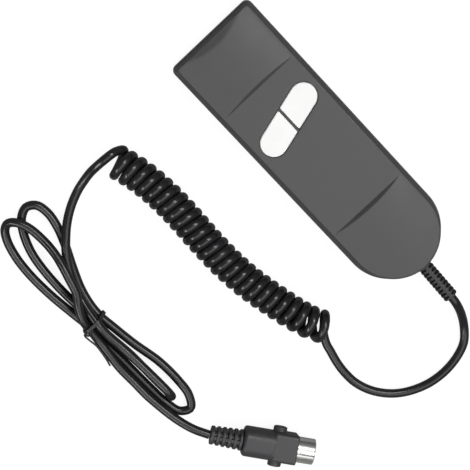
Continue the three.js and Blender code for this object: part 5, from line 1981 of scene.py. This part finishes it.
@dataclass(frozen=True)
class Plug:
    """The round plug, drawn from the cord's end along +X and then laid on the floor.

    Attributes:
        place: Where the cord enters it.
        heading: Which way it points, in degrees.
        roll: How far it is rolled over, in degrees.
        boot_length: Length of the boot.
        boot_radii: Its radius where the cord enters, and at the body.
        core: Its radius under the slots.
        slots: How many slots it has.
        slot: Width of a slot.
        web: Width of the four webs across a slot.
        web_drop: How far they lie below the rings.
        web_turn: How far they are turned about the cord, in degrees.
        rear: Where the body's rear part begins and ends.
        front: Where its front block ends.
        rear_width: Width of the rear part.
        rear_round: Radius of its long edges.
        block_width: Width of the block.
        block_height: Its height.
        block_round: Radius of its long edges.
        lug_radius: Radius of the lugs.
        lug_span: Distance between their faces.
        lug_x: Where they are.
        shell_radius: Outer radius of the metal shell.
        shell_wall: Its thickness.
        shell: Where it begins and ends.
        key_width: Width of its groove.
        key_depth: Depth of that groove.
        insert_end: Where the insert's face is.
        pin_radius: Radius of a pin.
        pin_circle: Radius of the circle that the pins stand on.
        pin_root: How deep a pin sits in the insert.
        pin_reach: How far it stands out.
        pins: How many pins there are.
    """

    place: Triple = (-136.76, -68.42, 8.0988)
    heading: float = -54.3
    roll: float = -9.8
    boot_length: float = 16.5
    boot_radii: Pair = (4.8, 5.5)
    core: float = 3.1
    slots: int = 5
    slot: float = 1.1
    web: float = 1.7
    web_drop: float = 0.65
    web_turn: float = 12.0
    rear: Pair = (16.8, 32.1)
    front: float = 44.5
    rear_width: float = 15.2
    rear_round: float = 6.0
    block_width: float = 15.1
    block_height: float = 14.4
    block_round: float = 2.0
    lug_radius: float = 3.5
    lug_span: float = 20.5
    lug_x: float = 34.7
    shell_radius: float = 6.6
    shell_wall: float = 0.6
    shell: Pair = (36.5, 53.5)
    key_width: float = 2.2
    key_depth: float = 1.1
    insert_end: float = 44.0
    pin_radius: float = 0.725
    pin_circle: float = 3.5
    pin_root: float = 3.0
    pin_reach: float = 7.4
    pins: int = 5

    @property
    def frame(self) -> Matrix:
        """The move from the plug's own axes to where it lies."""
        turn = Euler((math.radians(self.roll), 0, math.radians(self.heading)), "XYZ").to_matrix().to_4x4()
        return Matrix.Translation(self.place) @ turn

    def ring(self, start: float, end: float) -> Solid:
        """One ring of the boot, with rounded edges.

        Args:
            start: Where it begins along the plug.
            end: Where it ends.

        Returns:
            The ring.
        """
        first, last = self.boot_radii
        wide = [first + (last - first) * x / self.boot_length for x in (start, end)]
        over = rolled((start, wide[0]), (end, wide[1]), 0.6)
        return Solid.turned([(start, self.core - 0.1), *over, (end, self.core - 0.1)], 48)

    def boot(self) -> bpy.types.Object:
        """Makes the slotted boot: a core, rings, and four lower webs in each gap.

        Returns:
            The boot.
        """
        pitch = self.boot_length / (self.slots + 0.6)
        middles = [pitch * (i + 0.85) for i in range(self.slots)]
        starts = [0.0] + [m + self.slot / 2 for m in middles]
        ends = [m - self.slot / 2 for m in middles] + [self.boot_length]
        solid = Solid.turned([(0.3, self.core), (self.boot_length - 0.3, self.core)], 32)
        solid.join(*(self.ring(a, b) for a, b in zip(starts, ends)))
        first, last = self.boot_radii
        half = self.web / 2
        for middle in middles:
            wide = first + (last - first) * middle / self.boot_length - self.web_drop
            section = [(v, math.sqrt(wide**2 - v * v)) for v in np.linspace(-half, half, 7).tolist()]
            section += [(half, self.core - 0.4), (-half, self.core - 0.4)]
            reach = self.slot / 2 + 0.5
            web = Solid.loft([[(x, v, w) for v, w in section] for x in (middle - reach, middle + reach)])
            for turn in range(4):
                solid.join(web.moved(Matrix.Rotation(math.radians(self.web_turn + 90 * turn), 4, "X")))
        piece = smooth(solid.moved(self.frame).build("plug_boot_sleeve"))
        return dress(piece, PLUG_VINYL, "plug_moulding", "plug_boot")

    @staticmethod
    def bar(size: Pair, corner: float, stations: Sequence[Pair]) -> Solid:
        """A rounded bar along the plug, whose section changes from place to place.

        Args:
            size: Its width and height.
            corner: Radius of its long edges.
            stations: Places along it, each with how far the section is inset there.

        Returns:
            The bar.
        """
        sections = ((x, rectangle(*size, corner, 8, inset)) for x, inset in stations)
        return Solid.loft([[(x, y, z) for y, z in section] for x, section in sections])

    def body(self) -> bpy.types.Object:
        """Makes the moulded body with its soft transitions and the two lugs at its sides.

        Returns:
            The body.
        """
        start, middle = self.rear
        entry = ((start, 1.6), (start + 0.15, 0.9), (start + 0.5, 0.4), (start + 1.2, 0.0))
        rear_stations = (*entry, (middle - 1.0, 0.0), (middle + 0.5, 0.2))
        rear = self.bar((self.rear_width, self.rear_width), self.rear_round, rear_stations)
        step = ((middle, 0.8), (middle + 0.2, 0.3), (middle + 0.7, 0.0))
        block_stations = (*step, (self.front - 0.4, 0.0), (self.front, 0.4))
        block = self.bar((self.block_width, self.block_height), self.block_round, block_stations)
        half = self.lug_span / 2
        profile = rolled((-half, self.lug_radius), (half, self.lug_radius), 0.7)
        across = Matrix.Translation((self.lug_x, 0, 0)) @ Matrix.Rotation(math.pi / 2, 4, "Z")
        lug = Solid.turned(profile, 40).moved(across)
        piece = rear.build("plug_body_moulding")
        carve(piece, "UNION", block)
        carve(piece, "UNION", lug)
        remesh = piece.modifiers.new("melt", "REMESH")
        remesh.mode = "VOXEL"
        remesh.voxel_size = 0.28 * MM
        soften = piece.modifiers.new("soften", "SMOOTH")
        soften.factor, soften.iterations = 0.5, 4
        settle(piece)
        fewer = piece.modifiers.new("fewer", "DECIMATE")
        fewer.ratio = 0.3
        settle(piece)
        frame = self.frame
        piece.data.transform(Matrix.Translation(frame.translation * MM) @ frame.to_3x3().to_4x4())
        clear = self.shell_radius + 0.3
        seat = Solid.turned([(self.shell[0] - 0.3, clear), (self.front + 2, clear)], 64)
        carve(piece, "DIFFERENCE", seat.moved(self.frame))
        return dress(smooth(piece, 40), PLUG_VINYL, "plug_moulding", "plug_body")

    def shell_radius_at(self, angle: float, radius: float) -> float:
        """Radius of the shell at an angle, where a groove is pressed in at the top.

        Args:
            angle: The angle from the groove's middle.
            radius: The radius away from the groove.

        Returns:
            The radius.
        """
        away = abs(math.atan2(math.sin(angle), math.cos(angle))) * self.shell_radius
        blend = min(max((away - self.key_width / 2 + 0.25) / 0.9, 0.0), 1.0)
        blend = blend * blend * (3 - 2 * blend)
        return radius - self.key_depth * (1 - blend)

    def metal_shell(self) -> bpy.types.Object:
        """Makes the drawn steel shell with its pressed groove and rolled front edge.

        Returns:
            The shell.
        """
        start, end = self.shell
        outer, inner = self.shell_radius, self.shell_radius - self.shell_wall
        rim = (end, (outer + inner) / 2)
        section = [(start, inner), (start, outer), (end - 1.1, outer), (end - 0.9, outer)]
        section += bend((end - 0.35, outer - 0.02), (end, outer - 0.05), rim, 4)
        section += [*bend(rim, (end, inner + 0.03), (end - 0.35, inner), 4)[1:], (end - 0.9, inner)]
        rings = []
        sides = 120
        for i in range(sides):
            angle = 2 * math.pi * i / sides
            ring = []
            for x, r in section:
                radius = self.shell_radius_at(angle, r)
                ring.append((x, radius * math.sin(angle), radius * math.cos(angle)))
            rings.append(ring)
        piece = Solid.loft(rings, around=True).moved(self.frame).build("plug_metal_shell")
        return dress(smooth(piece, 40), NICKEL, "shell_metal", "plug_shell")

    def pin_spots(self) -> list[Pair]:
        """Where the pins stand, in the plane across the plug."""
        angles = [math.pi + math.pi * i / (self.pins - 1) for i in range(self.pins)]
        return [(self.pin_circle * math.cos(a), self.pin_circle * math.sin(a)) for a in angles]

    def insert(self) -> bpy.types.Object:
        """Makes the insert that carries the pins, with a chamfered front and a flat for the groove.

        Returns:
            The insert.
        """
        start, end = self.shell[0], self.insert_end
        full = self.shell_radius - self.shell_wall - 0.3
        rings = []
        for x, inset in ((start, 0.2), (start + 0.2, 0.0), (end - 0.3, 0.0), (end - 0.05, 0.1), (end, 0.3)):
            ring = []
            for i in range(96):
                angle = 2 * math.pi * i / 96
                radius = self.shell_radius_at(angle, full) - inset
                ring.append((x, radius * math.sin(angle), radius * math.cos(angle)))
            rings.append(ring)
        piece = Solid.loft(rings).moved(self.frame).build("plug_insert_disc")
        holes = []
        for y, z in self.pin_spots():
            hole = Solid.turned([(end - 3.3, self.pin_radius + 0.3), (end + 1, self.pin_radius + 0.3)], 24)
            holes.append(hole.moved(self.frame @ Matrix.Translation((0, y, z))))
        carve(piece, "DIFFERENCE", Solid().join(*holes))
        return dress(smooth(piece), PHENOLIC, "switch_case", "plug_insert")

    def contact_pins(self) -> bpy.types.Object:
        """Makes the five pins by Geometry Nodes.

        Returns:
            The pins, as one piece.
        """
        start = self.insert_end - self.pin_root
        length, r = self.pin_root + self.pin_reach, self.pin_radius
        profile = [(0.0, r), *((length - r + r * s, max(r * c, 0.02)) for c, s in quarter(8))]
        turn = self.frame.to_3x3().to_4x4()
        pin = Solid.turned(profile, 24).moved(turn)
        spots = [tuple(self.frame @ Vector((start, y, z))) for y, z in self.pin_spots()]
        pins = Pattern("plug_pins", spots).build(pin, NICKEL)
        return dress(pins, NICKEL, "pin_metal", *(f"pin_{i + 1}" for i in range(self.pins)))

    def build(self) -> list[bpy.types.Object]:
        """Makes every piece of the plug.

        Returns:
            The pieces.
        """
        return [self.boot(), self.body(), self.metal_shell(), self.insert(), self.contact_pins()]


# --- Screws and the inside ---


@dataclass(frozen=True)
class Screws:
    """A set of like screws with cross recesses.

    Attributes:
        name: What each CAD node is called, before its number.
        spots: Where each head's bearing face is.
        up: Whether the screws point up.
        head: Radius of the head.
        depth: Thickness of the head.
        shaft: Radius of the shaft.
        length: Length of the shaft.
    """

    name: str
    spots: Sequence[Triple]
    up: bool
    head: float
    depth: float
    shaft: float
    length: float

    def screw(self) -> Solid:
        """One screw along +X, with its bearing face at the origin and threads cut as rings.

        Returns:
            The screw.
        """
        flat, side = (-self.depth, self.head * 0.62), (-self.depth * 0.35, self.head)
        profile = [(-self.depth, 0.02), *bend(flat, (-self.depth, self.head), side, 6)]
        profile += [(-0.05, self.head), (0.0, self.head - 0.08), (0.0, self.shaft)]
        pitch, root = 0.9 if self.shaft > 1.2 else 0.7, self.shaft * 0.78
        x = 0.4
        while x + pitch < self.length - self.shaft:
            profile += [(x, root), (x + pitch * 0.42, root), (x + pitch * 0.5, self.shaft)]
            profile += [(x + pitch * 0.62, self.shaft), (x + pitch * 0.98, root)]
            x += pitch
        profile += [(self.length - self.shaft * 0.8, root), (self.length, 0.05)]
        return Solid.turned(profile, 28)

    def build(self) -> bpy.types.Object:
        """Sets the screws out by Geometry Nodes, each with a cross recess in its head.

        Returns:
            The screws, as one piece.
        """
        whole = self.screw().build("screw")
        arm, deep, half = self.head * 0.56, self.depth * 0.62, self.head * 0.11
        above, floor = -self.depth - 1, deep - self.depth
        outline = [(above, -arm), (above, arm), (floor, arm * 0.4), (floor, -arm * 0.4)]
        slot = Solid.prism([(outline, -half), (outline, half)])
        for turn in (0, math.pi / 2):
            carve(whole, "DIFFERENCE", slot.moved(Matrix.Rotation(turn, 4, "X")))
        whole.data.transform(Matrix.Rotation(-math.pi / 2 if self.up else math.pi / 2, 4, "Y"))
        corners = [tuple(v.co / MM) for v in whole.data.vertices]
        part = Solid(corners, [tuple(p.vertices) for p in whole.data.polygons])
        bpy.data.objects.remove(whole)
        piece = Pattern(f"{self.name}s", self.spots).build(part, ZINC)
        return dress(piece, ZINC, "screw_steel", *(f"{self.name}_{i + 1}" for i in range(len(self.spots))))


@dataclass(frozen=True)
class Inside:
    """The parts inside the handset, whose CAD solids keep their shape and get a finish.

    Attributes:
        finishes: Each finish with the CAD nodes that it goes on.
    """

    finishes: tuple[tuple[Finish, tuple[str, ...]], ...] = (
        (LAMINATE, ("circuit_board",)),
        (PHENOLIC, ("left_switch", "right_switch", "cable_clamp")),
        (ACETAL, ("left_switch_plunger", "right_switch_plunger")),
        (NYLON, ("board_connector", "wire_plug")),
        *((finish, (f"core_{i + 1}",)) for i, finish in enumerate(CORE_FINISHES)),
        (RELIEF_VINYL, ("cable_tail",)),
    )

    def dress(self, nodes: dict[str, bpy.types.Object]) -> None:
        """Puts a finish on each part.

        Args:
            nodes: The CAD nodes by name.
        """
        for finish, names in self.finishes:
            for name in names:
                for place in nodes[name].material_slots:
                    place.material = finish.build()
                LOG.info("%s keeps its shape, in %s", name, finish.name)


def main() -> None:
    """Builds the whole scene in order."""
    logging.basicConfig(level=logging.INFO, format="%(name)s: %(message)s")
    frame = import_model()
    nodes = frame["nodes"]
    studio = Studio()
    studio.set_camera()
    cord = Cord()
    cord_piece = cord.build()
    tie = TwistTie().build(cord)
    relief = Relief().build()
    plug = Plug().build()
    cord.declare()
    handset = Handset()
    handset.front()
    handset.rear()
    for side in Side:
        Button(side).build()
    large = {"up": True, "head": 2.7, "depth": 1.8, "shaft": 1.45, "length": 12.0}
    small = {"up": False, "head": 2.2, "depth": 1.3, "shaft": 1.1, "length": 5.0}
    for name, spots, height, sizes in (
        ("cover_screw", handset.screw_spots, 2.9, large),
        ("board_screw", handset.board_spots, 7.7, small),
        ("clamp_screw", handset.clamp_spots, 14.8, small),
    ):
        Screws(name, [(x, y, height) for x, y in spots], **sizes).build()
    Inside().dress(nodes)
    studio.set_light()
    studio.lay_floor()


if __name__ == "__main__":
    main()
